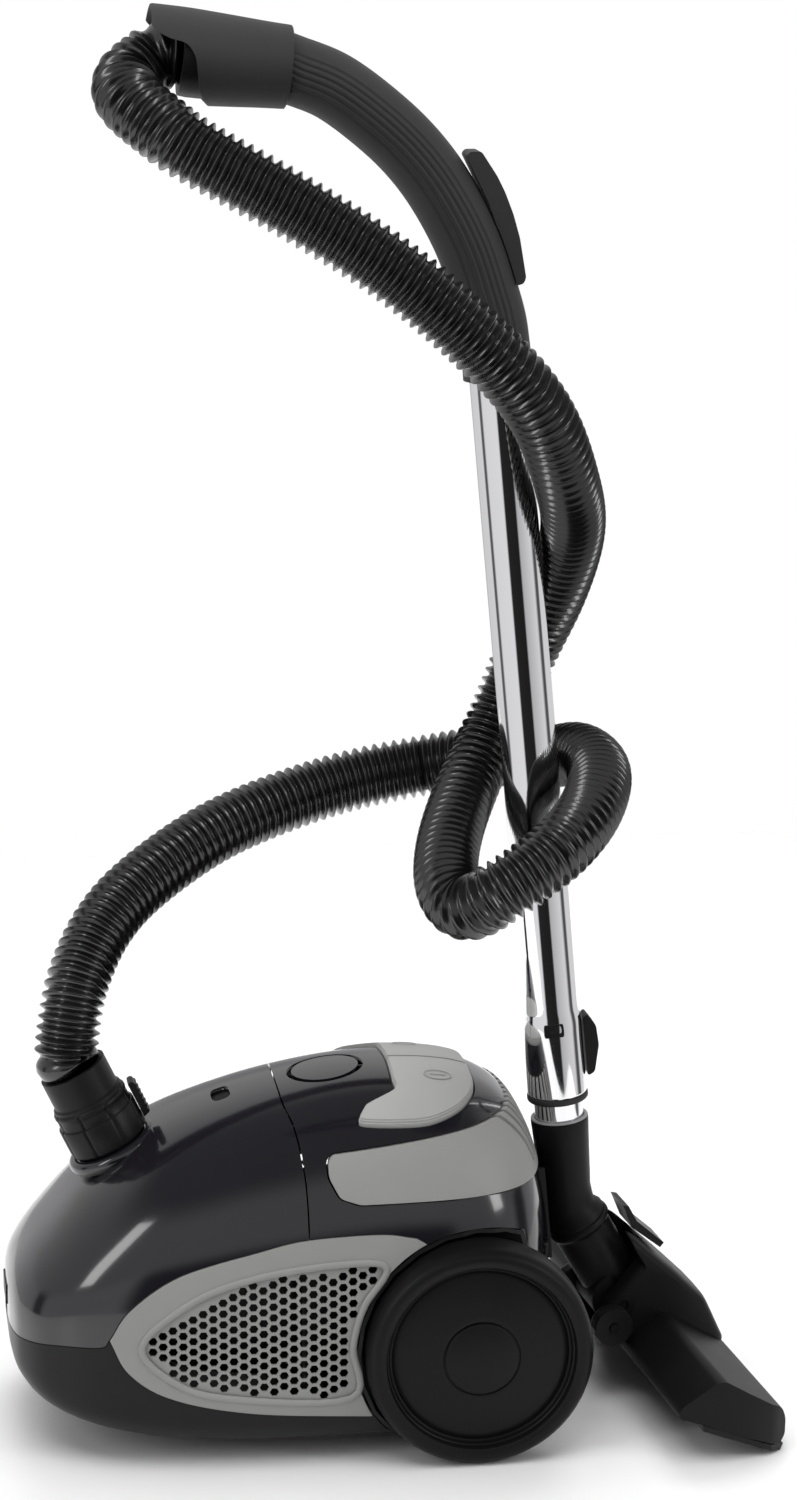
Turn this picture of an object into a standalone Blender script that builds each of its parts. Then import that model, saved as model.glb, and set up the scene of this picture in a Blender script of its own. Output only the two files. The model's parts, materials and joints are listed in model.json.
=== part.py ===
"""Canister vacuum cleaner with its wand parked at the rear. Lengths below are in millimetres, +Z is up.

The nose points to -X and the wand stands at +X. Every sub-part is one named object in the collection
canister_vacuum, and the cutters are in the hidden collection cutters.
"""

import math

import bmesh
import bpy
from mathutils import Matrix, Vector

MM = 0.001
SHIFT = Vector((13.0, -6.9, 0.0))  # puts the middle of the footprint on the origin
GAP = 0.3  # air between neighbouring sub-parts
WALL = 2.6  # moulded shell thickness

# Body sections from nose to rear: x, half width, z of the bottom, of the widest line and of the top
SECTIONS = (
    (-250.0, 12, 70, 81, 92), (-248.5, 36, 56, 81, 101), (-243, 57, 44, 82, 112),
    (-228, 77, 31, 83, 131), (-200, 93, 20, 84, 160), (-160, 103, 12.5, 85, 189),
    (-110, 108, 9, 85, 208), (-60, 110, 8, 85, 219.5), (-15, 110, 8, 85, 224),
    (25, 108, 8, 85, 221), (51, 101, 10, 85, 212.5), (68, 90, 14, 85, 200),
    (79, 75, 22, 84, 181), (86.3, 53, 34, 83, 157), (91.5, 31, 50, 82, 130), (93.5, 12, 70, 82, 101),
)
UPPER_POWER, LOWER_POWER = 2.5, 6.5  # how square the sections are above and below the widest line

# Outlines in side view (x, z) and, for the pedals, in plan (x, y)
SEAM = ((-262, 71), (-244, 74), (-221, 78), (-197, 80), (-192, 85))
PANEL_TOP = ((-179, 105), (-149, 126), (-100, 140), (-70, 146), (-27, 147.5), (-4, 144))
PANEL_BOTTOM = ((-34, 31), (-108, 37), (-156, 48), (-181, 64))
SPLIT = ((-70, 146), (-70.5, 180), (-74, 203), (-79, 214), (-81, 240))
SPLIT_RELIEF = 2.8  # extra gap at the top of the split, so that the lid's edge swings past the cover
BAND = (
    (-56, 180), (-56, 188), (-53, 191.5), (-17, 195), (26, 199), (62, 202), (110, 202),
    (110, 165), (57, 165), (-38, 165), (-50, 169),
)
PEDAL = ((-8, 0.4), (-9, 34), (-10, 45), (-29, 56), (-33, 62), (-33, 67), (-13, 69.5),
         (9, 68), (27, 59), (38, 45), (43, 28), (44, 0.4))
GRILLE = ((-168, 82), (-137, 111), (-101, 123), (-58, 128), (-36, 126), (-46, 100), (-50, 76),
          (-46, 46), (-119, 50), (-150, 60))

WHEEL_X, WHEEL_Z, TYRE_R = 33.4, 70.5, 70.5
WELL_R, WELL_Y = 75.5, 86.0
INLET_AT, INLET_TILT = Vector((-181, 0, 176.5)), math.radians(25)
DIAL_AT, DIAL_AXIS = Vector((-47, 0, 220)), Vector((-0.1, 0, 0.995))
HINGE_X, HINGE_Z = -60.0, 207.5
CASTER_X, CASTER_TRAIL, CASTER_R = -188.0, 7.0, 13.5
WAND_FOOT_X, WAND_LEAN = 119.7, math.atan(0.0898)  # where the wand's axis meets the floor, and its lean
NECK_END, ELBOW_END = Vector((115.5, 0, 111)), Vector((132.4, 0, 80.5))
HOOK_AT = Vector((86.3, 0, 127))  # middle of the wand's hook plate in the parking bracket
TILT_AT, HEAD_SWIVEL = Vector((138, 0, 61)), math.radians(6.3)
HEAD_HALF = 147.0
GRIP = ((60.9, 655), (59.2, 674), (57, 690), (52, 708), (42, 737), (26, 767), (8.5, 790.5),
        (-13, 811), (-39, 830), (-64.3, 840.5))
SOCKET_RIGHT, SOCKET_LEFT = Vector((-65, 0, 841.5)), Vector((-127, 0, 848.5))

# Route of the hose's centre line, from the inlet cuff to the cuff in the handle
HOSE_R = 19.8
LOOSE_ROUTE = (
    (-206.5, 0, 231.2), (-208.9, 0.2, 236.4), (-205, 7, 261), (-198, 23, 280), (-181, 54, 302),
    (-154, 90, 319),
    (-105, 138, 337), (-58, 168, 348), (-9, 184, 358), (42, 184, 367), (85, 157, 379), (111, 100, 391),
    (123, 52, 405), (126, -4, 406), (107, -72, 399), (78, -116, 386), (44, -130, 368), (25, -110, 352),
    (19, -72, 357), (31, -8, 370), (55, 56, 392), (77, 88, 420), (97, 95, 464), (109, 62, 509),
    (109, 5, 558),
    (93, -60, 602), (69, -104, 652), (34, -120, 693), (-17, -114, 737), (-70, -97, 771),
    (-129, -76, 803),
    (-148, -63, 816), (-164, -39, 829), (-162, -15, 837), (-151, -4, 844), (-142, -0.6, 849.4),
    (-131, 0, 849),
)
ROUTE = tuple((x - 0.045 * y, 0.7 * y, z + 0.075 * y) for x, y, z in LOOSE_ROUTE)  # its loops drawn in towards the wand
HOSE_CUTS = (9, 15)  # route points where one hose node ends and the next starts

MATERIALS = {}


def clear_scene():
    for obj in list(bpy.data.objects):
        bpy.data.objects.remove(obj, do_unlink=True)


def new_collection(name):
    collection = bpy.data.collections.new(name)
    bpy.context.scene.collection.children.link(collection)
    return collection


def material(name, color, roughness, metallic=0.0, alpha=1.0):
    made = bpy.data.materials.new(name)
    made.use_nodes = True
    shader = made.node_tree.nodes["Principled BSDF"]
    shader.inputs["Base Color"].default_value = (*color, 1.0)
    shader.inputs["Roughness"].default_value = roughness
    shader.inputs["Metallic"].default_value = metallic
    shader.inputs["Alpha"].default_value = alpha
    made.diffuse_color = (*color, alpha)
    MATERIALS[name] = made
    return made


def add_mesh(name, verts, faces, slot=None):
    """A closed mesh from millimetre points. Without a slot it is a cutter."""
    mesh = bpy.data.meshes.new(name)
    mesh.from_pydata([(Vector(v) + SHIFT) * MM for v in verts], [], faces)
    shape = bmesh.new()
    shape.from_mesh(mesh)
    bmesh.ops.recalc_face_normals(shape, faces=shape.faces)
    shape.to_mesh(mesh)
    shape.free()
    obj = bpy.data.objects.new(name, mesh)
    if slot:
        mesh.materials.append(MATERIALS[slot])
        PARTS.objects.link(obj)
    else:
        obj.hide_render = True
        obj.display_type = "WIRE"
        CUTTERS.objects.link(obj)
    return obj


def boolean(obj, cutter, operation="DIFFERENCE"):
    step = obj.modifiers.new(f"{operation.lower()}_{cutter.name}"[:60], "BOOLEAN")
    step.operation = operation
    step.solver = "EXACT"
    step.object = cutter
    return obj


def frame_of(axis):
    """Two unit vectors square to the axis, the first in the XZ plane where it can be."""
    axis = Vector(axis).normalized()
    side = Vector((0, 1, 0)) if abs(axis.y) < 0.9 else Vector((0, 0, 1))
    first = side.cross(axis).normalized()
    return axis, first, axis.cross(first)


def rings_to_mesh(rings):
    """Faces that join equal rings of points in order, with both ends filled."""
    count = len(rings[0])
    faces = []
    for j in range(len(rings) - 1):
        for k in range(count):
            a, b = j * count + k, j * count + (k + 1) % count
            faces.append((a, b, b + count, a + count))
    faces.append(tuple(range(count))[::-1])
    last = (len(rings) - 1) * count
    faces.append(tuple(range(last, last + count)))
    return [p for ring in rings for p in ring], faces


def lathe(name, origin, axis, profile, steps, slot=None, hollow=False):
    """Turns (radius, height) points about the axis. A hollow profile is a closed loop clear of the axis."""
    origin = Vector(origin)
    axis, first, second = frame_of(axis)
    rings = [
        [
            origin + axis * h + (first * math.cos(t) + second * math.sin(t)) * r
            for t in (2 * math.pi * k / steps for k in range(steps))
        ]
        for r, h in profile
    ]
    verts, faces = rings_to_mesh(rings)
    if hollow:
        faces = faces[:-2]
        last = (len(rings) - 1) * steps
        for k in range(steps):
            n = (k + 1) % steps
            faces.append((last + k, last + n, n, k))
    return add_mesh(name, verts, faces, slot)


def tube(name, origin, axis, r_in, r_out, low, high, steps, slot=None):
    return lathe(name, origin, axis, ((r_in, low), (r_out, low), (r_out, high), (r_in, high)), steps,
                 slot, True)


def cylinder(name, origin, axis, r, low, high, steps, slot=None):
    return lathe(name, origin, axis, ((r, low), (r, high)), steps, slot)


def prism(name, outline, plane, low, high, slot=None):
    """An outline in plane 'xz', 'xy' or 'yz', pulled from low to high along the third axis."""
    order = {"xz": lambda a, b, c: (a, c, b), "xy": lambda a, b, c: (a, b, c), "yz": lambda a, b,
             c: (c, a, b)}
    place = order[plane]
    verts, faces = rings_to_mesh([[place(a, b, c) for a, b in outline] for c in (low, high)])
    return add_mesh(name, verts, faces, slot)


def box(name, x, y, z, slot=None):
    return prism(name, ((x[0], y[0]), (x[1], y[0]), (x[1], y[1]), (x[0], y[1])), "xy", z[0], z[1], slot)


def tilted_box(name, origin, axis, along, across, y, slot=None):
    """A box along an axis in the XZ plane: along it, across it (towards +X), and in y."""
    up = Vector(axis).normalized()
    right = Vector((up.z, 0, -up.x))
    origin = Vector(origin)
    corners = [origin + up * a + right * b for a, b in
               ((along[0], across[0]), (along[1], across[0]), (along[1], across[1]),
                (along[0], across[1]))]
    return prism(name, [(c.x, c.z) for c in corners], "xz", y[0], y[1], slot)


def sweep(name, points, outer, inner, steps, slot=None, end=None):
    """A round tube along points, with one outer and one inner radius for each. end turns the last ring."""
    points = [Vector(p) for p in points]
    shells = []
    for radii in (outer, inner):
        rings = []
        for i, point in enumerate(points):
            before, after = points[max(i - 1, 0)], points[min(i + 1, len(points) - 1)]
            along = (after - before).normalized()
            if end and i == len(points) - 1:
                along = end
            side = Vector((0, 1, 0)).cross(along).normalized()
            over = along.cross(side)
            rings.append([point + (side * math.cos(t) + over * math.sin(t)) * radii[i]
                          for t in (2 * math.pi * k / steps for k in range(steps))])
        shells.append(rings)
    verts, faces = rings_to_mesh(shells[0] + shells[1][::-1])
    faces = faces[:-2]
    last = (2 * len(points) - 1) * steps
    for k in range(steps):
        n = (k + 1) % steps
        faces.append((last + k, last + n, n, k))
    return add_mesh(name, verts, faces, slot)


def spline(values, t):
    """Catmull-Rom through a list of tuples at parameter t, counted in points."""
    last = len(values) - 1
    i = min(int(t), last - 1)
    u = t - i
    p1, p2 = values[i], values[i + 1]
    p0 = values[i - 1] if i else tuple(2 * a - b for a, b in zip(p1, p2))
    p3 = values[i + 2] if i + 2 <= last else tuple(2 * b - a for a, b in zip(p1, p2))
    return tuple(
        0.5 * (2 * b + (c - a) * u + (2 * a - 5 * b + 4 * c - d) * u * u + (3 * b - a - 3 * c + d) * u ** 3)
        for a, b, c, d in zip(p0, p1, p2, p3)
    )


def body_rings(offset, stations, steps):
    """Rings of the body's outer form, moved outwards by offset."""
    rings = []
    middle = (SECTIONS[0][0] + SECTIONS[-1][0]) / 2
    stretch = 1 + offset / (SECTIONS[-1][0] - middle)
    for j in range(stations + 1):
        x, half, low, wide, top = spline(SECTIONS, (len(SECTIONS) - 1) * j / stations)
        x = middle + (x - middle) * stretch
        half, low, top = half + offset, low - offset, top + offset
        ring = []
        for k in range(steps):
            t = 2 * math.pi * k / steps
            c, s = math.cos(t), math.sin(t)
            power = 2 / (UPPER_POWER if s >= 0 else LOWER_POWER)
            rise = (top - wide) if s >= 0 else (wide - low)
            ring.append((x, half * math.copysign(abs(c) ** power, c),
                         wide + rise * math.copysign(abs(s) ** power, s)))
        rings.append(ring)
    return rings


def body_form(name, offset, stations, steps):
    verts, faces = rings_to_mesh(body_rings(offset, stations, steps))
    return add_mesh(name, verts, faces)


def shell_piece(name, slot, outer=0.0, inner=-WALL, stations=20, steps=26):
    """The whole body wall between two offsets, ready to be cut down to one moulding."""
    verts, faces = rings_to_mesh(body_rings(outer, stations, steps))
    inside, inner_faces = rings_to_mesh(body_rings(inner, stations // 2 + 1, steps * 3 // 5))
    base = len(verts)
    mesh = bpy.data.meshes.new(name)
    mesh.from_pydata([(Vector(v) + SHIFT) * MM for v in verts + inside], [],
                     [f[::-1] for f in faces] + [tuple(i + base for i in f) for f in inner_faces])
    mesh.materials.append(MATERIALS[slot])
    obj = bpy.data.objects.new(name, mesh)
    PARTS.objects.link(obj)
    return obj


def grown(outline, by):
    """The outline with each side moved outwards by the given amount."""
    area = sum(a[0] * b[1] - b[0] * a[1] for a, b in zip(outline, outline[1:] + outline[:1]))
    sign = 1 if area > 0 else -1
    result = []
    for i, here in enumerate(outline):
        before, after = Vector(outline[i - 1]), Vector(outline[(i + 1) % len(outline)])
        d1, d2 = (Vector(here) - before).normalized(), (after - Vector(here)).normalized()
        n1, n2 = Vector((d1.y, -d1.x)), Vector((d2.y, -d2.x))
        bisector = (n1 + n2).normalized()
        moved = Vector(here) + bisector * (sign * by / max(bisector.dot(n1), 0.4))
        result.append((moved.x, moved.y))
    return result


def arch(radius, start, end, count):
    """Points round the wheel's arch in side view, angles in degrees from -X, upwards."""
    return [
        (WHEEL_X - radius * math.cos(math.radians(a)), WHEEL_Z + radius * math.sin(math.radians(a)))
        for a in (start + (end - start) * i / (count - 1) for i in range(count))
    ]


def wand(z):
    """The point of the wand's axis at this height."""
    return Vector((WAND_FOOT_X - 0.0898 * z, 0, z))


WAND_UP = Vector((-math.sin(WAND_LEAN), 0, math.cos(WAND_LEAN)))
LIFT_OFF = Vector((0.1, 0, 0.995)).normalized()
INLET_OUT = Vector((-math.sin(INLET_TILT), 0, math.cos(INLET_TILT)))


def shared_cutters():
    lid_side = [(-262, 260)] + list(SEAM) + list(PANEL_TOP[:3]) + list(SPLIT) + [(-81, 260)]
    base_side = list(SEAM) + list(PANEL_TOP) + [(5, 125), (62, 63), (115, 63), (115, -15), (-262, -15)]
    split = [(x + (SPLIT_RELIEF if z > 190 else 0), z) for x, z in SPLIT]
    cover_side = list(PANEL_TOP[3:]) + [(4, 137), (5, 125), (62, 63), (115, 63),
                                        (115, 260)] + split[:0:-1]
    cut = {
        "lid": prism("cut_lid", grown(lid_side, -0.45), "xz", -140, 140),
        "base": prism("cut_base", grown(base_side, -0.25), "xz", -140, 140),
        "cover": prism("cut_cover", grown(cover_side, -0.35), "xz", -140, 140),
        "hinge": cylinder("cut_hinge", (HINGE_X, 0, HINGE_Z), (0, 1, 0), 2.3, -60, 60, 12),
        "inlet": cylinder("cut_inlet", INLET_AT, INLET_OUT, 22.2, -40, 40, 20),
        "bracket": tilted_box("cut_bracket", wand(0), WAND_UP, (95.5, 157), (-45, 0), (-22.8, 22.8)),
    }
    for side in (-1, 1):
        low, high = sorted((side * (WELL_Y - GAP), side * 140))
        cut[f"well{side}"] = cylinder(f"cut_well{side}", (WHEEL_X, 0, WHEEL_Z), (0, 1, 0),
                                      WELL_R + GAP, low, high, 24)
    return cut


def panel_outline(into_well=False):
    edge = arch(WELL_R + 0.6, 66, -31, 8)
    if into_well:
        edge = edge[:1] + arch(WELL_R - 5, 66, -31, 8) + edge[-1:]
    return list(SEAM[-1:]) + list(PANEL_TOP) + edge + list(PANEL_BOTTOM)


def build_shells(cut):
    base = shell_piece("base_tray", "dark_plastic")
    boolean(base, cut["base"], "INTERSECT")
    for side in (-1, 1):
        boolean(base, cut[f"well{side}"])
        low, high = sorted((side * 60, side * 140))
        boolean(base, prism(f"cut_panel{side}", grown(panel_outline(True), 0.1), "xz", low, high))
    cradle = prism("add_cradle", ((-32, 9), (-32, 48), (-18, 48), (-18, 9)), "xz", -38, 38)
    boolean(cradle, cylinder("cut_cradle", (0, 0, 66), (1, 0, 0), 51.4, -60, 20, 20))
    boolean(base, cradle, "UNION")
    boolean(base, cylinder("cut_caster", (CASTER_X, 0, 0), (0, 0, 1), 25.2, 0, 60, 18))

    lid = shell_piece("front_lid", "gloss_black")
    boolean(lid, cut["lid"], "INTERSECT")
    boolean(lid, lathe("add_inlet", INLET_AT, INLET_OUT,
                       ((22, -14), (25, -14), (25, -9), (29.5, -9), (30.5, 1), (29, 4.5), (26.5, 5.5),
                        (22, 5.5)),
                       20, None, True), "UNION")
    boolean(lid, cut["inlet"])
    arm = ((-64, 208.5), (-62, 210.6), (-58, 210.6), (-56, 208.5), (-56.5, 203), (-67, 188.5),
           (-87.5, 186), (-94, 198), (-94, 209),
           (-89.5, 212), (-89.5, 200), (-84.5, 191.5), (-70, 193.5), (-63.5, 202))
    for side in (-1, 1):
        low, high = sorted((side * 12, side * 17))
        boolean(lid, prism(f"add_arm{side}", arm, "xz", low, high), "UNION")
    boolean(lid, cut["hinge"])
    boolean(lid, box("cut_slot", (-119.5, -106.5), (-11.5, 11.5), (185, 225)))
    boolean(lid, box("cut_latch", (-256, -241), (-14.4, 14.4), (60, 94.4)))

    cover = shell_piece("rear_cover", "gloss_black")
    boolean(cover, cut["cover"], "INTERSECT")
    for side in (-1, 1):
        boolean(cover, cut[f"well{side}"])
        outline = [(x, side * y) for x, y in grown(list(PEDAL), 0.35)]
        boolean(cover, prism(f"cut_pedal{side}", outline, "xy", 185, 240))
        low, high = sorted((side * 36, side * 41))
        lug = prism(f"add_lug{side}", ((-64.5, 204), (-55.5, 204), (-55.5, 216), (-64.5, 216)), "xz",
                    low, high)
        boolean(cover, lug, "UNION")
        low, high = sorted((side * 60, side * 140))
        boolean(cover, prism(f"cut_panel_top{side}", grown(panel_outline(True), 0.1), "xz", low, high))
    boolean(cover, cut["hinge"])
    boolean(cover, cylinder("cut_dial", DIAL_AT, DIAL_AXIS, 23.0, -20, 20, 28))
    boolean(cover, prism("cut_band", grown(list(BAND), 0.35), "xz", -140, 140))
    boolean(cover, cut["bracket"])
    boolean(cover, cylinder("cut_cord_outlet", (0, 38, 84), (1, 0, 0), 8.4, 75, 110, 16))


def build_shell_inserts():
    for side, name in ((-1, "side_panel_near"), (1, "side_panel_far")):
        panel = shell_piece(name, "grey_plastic")
        low, high = sorted((side * 60, side * 140))
        boolean(panel, prism(f"keep_{name}", grown(panel_outline(), -0.35), "xz", low, high),
                "INTERSECT")
        for i, (x, z) in enumerate(grille_holes()):
            hexagon = [(x + 6.6 * math.cos(math.radians(60 * k)),
                        z + 6.6 * math.sin(math.radians(60 * k)))
                       for k in range(6)]
            boolean(panel, prism(f"cut_hex_{name}_{i}", hexagon, "xz", low, high))
    band = shell_piece("exhaust_cover", "grey_plastic")
    boolean(band, prism("keep_band", BAND, "xz", -140, 140), "INTERSECT")
    for side in (-1, 1):
        boolean(band, CUTTERS.objects[f"cut_pedal{side}"])
    for i in range(7):
        y = (i - 3) * 13
        boolean(band, box(f"cut_louvre{i}", (62, 96), (y - 2.2, y + 2.2), (172, 197)))
    for side, name in ((-1, "power_pedal"), (1, "rewind_pedal")):
        pedal = shell_piece(name, "grey_plastic", 2.2, -3.0)
        outline = [(x, side * y) for x, y in PEDAL]
        boolean(pedal, prism(f"keep_{name}", outline, "xy", 185, 240), "INTERSECT")
        boolean(pedal, cylinder(f"add_stem_{name}", (8, side * 34, 0), (0, 0, 1), 4, 203, 218, 12),
                "UNION")
    dial = shell_piece("suction_dial", "gloss_black", 0.3, -4.0)
    boolean(dial, cylinder("keep_dial", DIAL_AT, DIAL_AXIS, 22.2, -20, 20, 28), "INTERSECT")
    boolean(dial, cylinder("add_dial_stem", DIAL_AT, DIAL_AXIS, 5, -24, -2, 14), "UNION")
    window = shell_piece("indicator_window", "gloss_black", -0.3, -WALL)
    boolean(window, box("keep_window", (-119.1, -106.9), (-11.1, 11.1), (185, 225)), "INTERSECT")


def grille_holes():
    """Centres of the grille's holes that lie inside its outline."""
    found = []
    area = grown(list(GRILLE), -7.5)
    for i in range(9):
        for j in range(6):
            x, z = -162 + 16.8 * i, 44 + 19.4 * j + (9.7 if i % 2 else 0)
            if inside(area, x, z):
                found.append((x, z))
    return found


def inside(outline, x, z):
    hit = False
    for (x1, z1), (x2, z2) in zip(outline, outline[1:] + outline[:1]):
        if (z1 > z) != (z2 > z) and x < (x2 - x1) * (z - z1) / (z2 - z1) + x1:
            hit = not hit
    return hit


def build_small_trim():
    prism("lid_latch", ((-250.6, 80), (-250.6, 92), (-248, 94), (-243, 94), (-243, 90), (-246.5, 80)),
          "xz",
          -14, 14, "dark_plastic")
    box("indicator_flag", (-117, -109), (-10, 2), (196.5, 198), "signal_red")
    cylinder("lid_hinge_pin", (HINGE_X, 0, HINGE_Z), (0, 1, 0), 2.0, -44, 44, 12, "steel")
    lathe("cord_outlet", (0, 38, 84), (1, 0, 0), ((8, 80), (8, 94), (6.5, 94), (5.5, 91.5)), 16, "rubber_black")
    for side, name in ((-1, "wheel_liner_near"), (1, "wheel_liner_far")):
        liner = lathe(name, (WHEEL_X, 0, WHEEL_Z), (0, side, 0),
                      ((6.3, WELL_Y), (WELL_R, WELL_Y), (WELL_R, 120), (WELL_R - 2.4, 120),
                       (WELL_R - 2.4, WELL_Y + 2.4),
                       (6.3, WELL_Y + 2.4)), 24, "dark_plastic", True)
        boolean(liner, FORM, "INTERSECT")


def build_parking_bracket():
    bracket = tilted_box("parking_bracket", wand(0), WAND_UP, (96, 156.5), (-30, -15.6), (-22.4, 22.4),
                         "dark_plastic")
    boolean(bracket, tilted_box("cut_slot_deep", HOOK_AT, LIFT_OFF, (-13, 60), (-1.7, 1.7),
                                (-12.5, 12.5)))
    boolean(bracket, tilted_box("cut_slot_neck", HOOK_AT, LIFT_OFF, (-20, 60), (-1, 20), (-5.5, 5.5)))
    boolean(bracket, tilted_box("cut_slot_top", HOOK_AT, LIFT_OFF, (12, 60), (-1, 20), (-12.5, 12.5)))
    boolean(bracket, tilted_box("cut_slot_mouth", wand(0), WAND_UP, (90, 160), (-20.0, -10),
                                (-19.3, 19.3)))


def build_inside(cut_form):
    bulkhead = box("bulkhead", (-75, -72.5), (-104, 104), (11, 141), "dark_plastic")
    boolean(bulkhead, cut_form, "INTERSECT")
    boolean(bulkhead, box("cut_window", (-80, -65), (-42, 42), (35, 125)))
    box("motor_filter", (-72.2, -66.5), (-46, 46), (31, 129), "filter_white")
    tube("motor_mount", (0, 0, 66), (1, 0, 0), 44.6, 51, -30, -20, 20, "rubber_black")
    lathe("motor_housing", (0, 0, 66), (1, 0, 0),
          ((34, -62), (44, -62), (44, 20), (10, 20), (10, 17.5), (41.5, 17.5), (41.5, -59.5),
           (34, -59.5)),
          20, "dark_plastic", True)
    rotor = lathe("fan_rotor", (0, 0, 66), (1, 0, 0),
                  ((4, -57), (4, -53), (30, -53), (30, -50), (4, -50), (4, 24)), 16, "aluminium")
    for k in range(6):
        turn = Matrix.Rotation(math.pi * k / 3, 4, "X")
        blade = box(f"add_blade{k}", (-55.5, -52.5), (-1, 1), (6, 29.5))
        blade.data.transform(Matrix.Translation((SHIFT + Vector((0, 0, 66))) * MM) @ turn
                             @ Matrix.Translation(SHIFT * -MM))
        boolean(rotor, blade, "UNION")
    tube("motor_stator", (0, 0, 66), (1, 0, 0), 14, 41.0, -30, 8, 20, "copper_steel")
    box("exhaust_filter", (60, 68), (-50, 50), (68, 128), "filter_white")
    lathe("cord_reel", (6, 0, 0), (0, 0, 1),
          ((6.5, 151), (50, 151), (50, 153), (20, 153), (20, 175), (50, 175), (50, 177), (6.5, 177)),
          20, "dark_plastic", True)
    bracket = box("reel_bracket", (-40, 50), (-40, 40), (145, 148), "steel")
    boolean(bracket, cylinder("add_reel_axle", (6, 0, 0), (0, 0, 1), 6.2, 146, 184, 16), "UNION")
    holder = tilted_box("bag_holder", INLET_AT, INLET_OUT, (-26, -23), (-33, 30), (-50, 50),
                        "grey_plastic")
    for side in (-1, 1):
        low, high = sorted((side * 46, side * 50))
        post = prism(f"add_post{side}", ((-200, 28), (-200, 143), (-193, 147), (-193, 28)), "xz", low,
                     high)
        boolean(holder, post, "UNION")
    boolean(holder, cylinder("cut_bag_mouth", INLET_AT, INLET_OUT, 19.5, -60, 0, 24))
    tube("inlet_seal", INLET_AT, INLET_OUT, 18, 25, -22.6, -14.6, 24, "rubber_black")
    build_dust_bag()


def build_dust_bag():
    rings = []
    for j in range(9):
        u = -math.cos(math.pi * (0.06 + 0.88 * j / 8))
        swell = (1 - u ** 4) ** 0.25
        x = -153 + 72 * u
        rings.append([(x, 43 * swell * math.copysign(abs(c) ** 0.7, c),
                       89 + 0.06 * (x + 153) + 41 * swell *
                       math.copysign(abs(s) ** 0.7, s))
                      for c, s in ((math.cos(2 * math.pi * k / 16), math.sin(2 * math.pi * k / 16))
                                   for k in range(16))])
    bag = add_mesh("dust_bag", *rings_to_mesh(rings), "paper")
    boolean(bag, cylinder("add_bag_neck", INLET_AT, INLET_OUT, 19, -62, -23.5, 24), "UNION")


def build_wheels():
    cylinder("rear_axle", (WHEEL_X, 0, WHEEL_Z), (0, 1, 0), 6.0, -121, 121, 16, "steel")
    for side, tag in ((-1, "near"), (1, "far")):
        centre, out = (WHEEL_X, 0, WHEEL_Z), (0, side, 0)
        lathe(f"tyre_{tag}", centre, out,
              ((58.5, 96), (65, 93), (69, 95), (TYRE_R, 100), (TYRE_R, 117), (69, 122), (64, 124.5),
               (58.5, 122)),
              24, "tyre_black", True)
        lathe(f"wheel_disc_{tag}", centre, out,
              ((6.3, 91), (12, 91), (14, 112), (52, 106), (58.2, 99), (58.2, 120), (54, 117),
               (26, 122.5), (24, 121.7),
               (6.3, 121.7)), 24, "dark_plastic", True)
        lathe(f"hub_cap_{tag}", centre, out,
              ((0.01, 122.2), (22.6, 122.2), (23.6, 123.6), (21, 125.6), (12, 127.2), (0.01, 127.8)),
              16, "dark_plastic")


def build_caster():
    x = CASTER_X
    lathe("caster_housing", (x, 0, 0), (0, 0, 1),
          ((22, 17.5), (24.7, 17.5), (24.7, 40), (4.3, 40), (4.3, 37.4), (22, 37.4)), 18,
          "dark_plastic", True)
    fork = lathe("caster_fork", (x, 0, 0), (0, 0, 1), ((20, 31.5), (20, 35), (4, 35), (4, 43)), 18,
                 "dark_plastic")
    cheek = [(x + CASTER_TRAIL - 6, 32), (x + CASTER_TRAIL + 6, 32), (x + CASTER_TRAIL + 4, 9.5),
             (x + CASTER_TRAIL - 4, 9.5)]
    for side in (-1, 1):
        low, high = sorted((side * 7.2, side * 10))
        boolean(fork, prism(f"add_cheek{side}", cheek, "xz", low, high), "UNION")
    boolean(fork, cylinder("add_caster_pin", (x + CASTER_TRAIL, 0, CASTER_R), (0, 1, 0), 2.0, -9.8,
                           9.8, 12), "UNION")
    lathe("caster_wheel", (x + CASTER_TRAIL, 0, CASTER_R), (0, 1, 0),
          ((2.3, -6), (12, -6), (CASTER_R, -4), (CASTER_R, 4), (12, 6), (2.3, 6)), 20, "dark_plastic",
          True)


def build_inlet_cuff():
    lathe("hose_cuff", INLET_AT, INLET_OUT,
          ((18, -13.5), (21.5, -13.5), (21.5, 6.2), (25.5, 6.2), (25.5, 24), (23.8, 27), (23.8, 33),
           (21.5, 36),
           (21.5, 57.2), (18, 57.2)), 20, "dark_plastic", True)
    tilted_box("cuff_latch", INLET_AT, INLET_OUT, (9, 34), (26, 31), (-6.5, 6.5), "dark_plastic")


def route_curve():
    """Even points along the smooth hose route, and the index of each cut."""
    dense, marks = [], []
    for i in range(len(ROUTE) - 1):
        marks.append(len(dense))
        dense += [Vector(spline(ROUTE, i + k / 12)) for k in range(12)]
    dense.append(Vector(ROUTE[-1]))
    return dense, [marks[i] for i in HOSE_CUTS]


def thinned(stretch, longest=28.0, sharpest=18.0, stub=6.0):
    """Fewer points along a dense line: closer where it bends, with a short straight stub at each end."""
    kept, run = [stretch[0], stretch[0].lerp(stretch[1], stub / (stretch[1] - stretch[0]).length)], 0.0
    heading = stretch[1] - stretch[0]
    for before, here, after in zip(stretch[1:], stretch[2:], stretch[3:]):
        run += (here - before).length
        turned = math.degrees(heading.angle(after - here))
        if run > 6 and (run > longest or turned > sharpest):
            kept.append(here)
            run, heading = 0.0, after - here
    if (stretch[-1] - kept[-1]).length < 11:
        kept.pop()
    back = (stretch[-2] - stretch[-1]).normalized()
    return kept + [stretch[-1] + back * stub, stretch[-1]]


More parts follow.
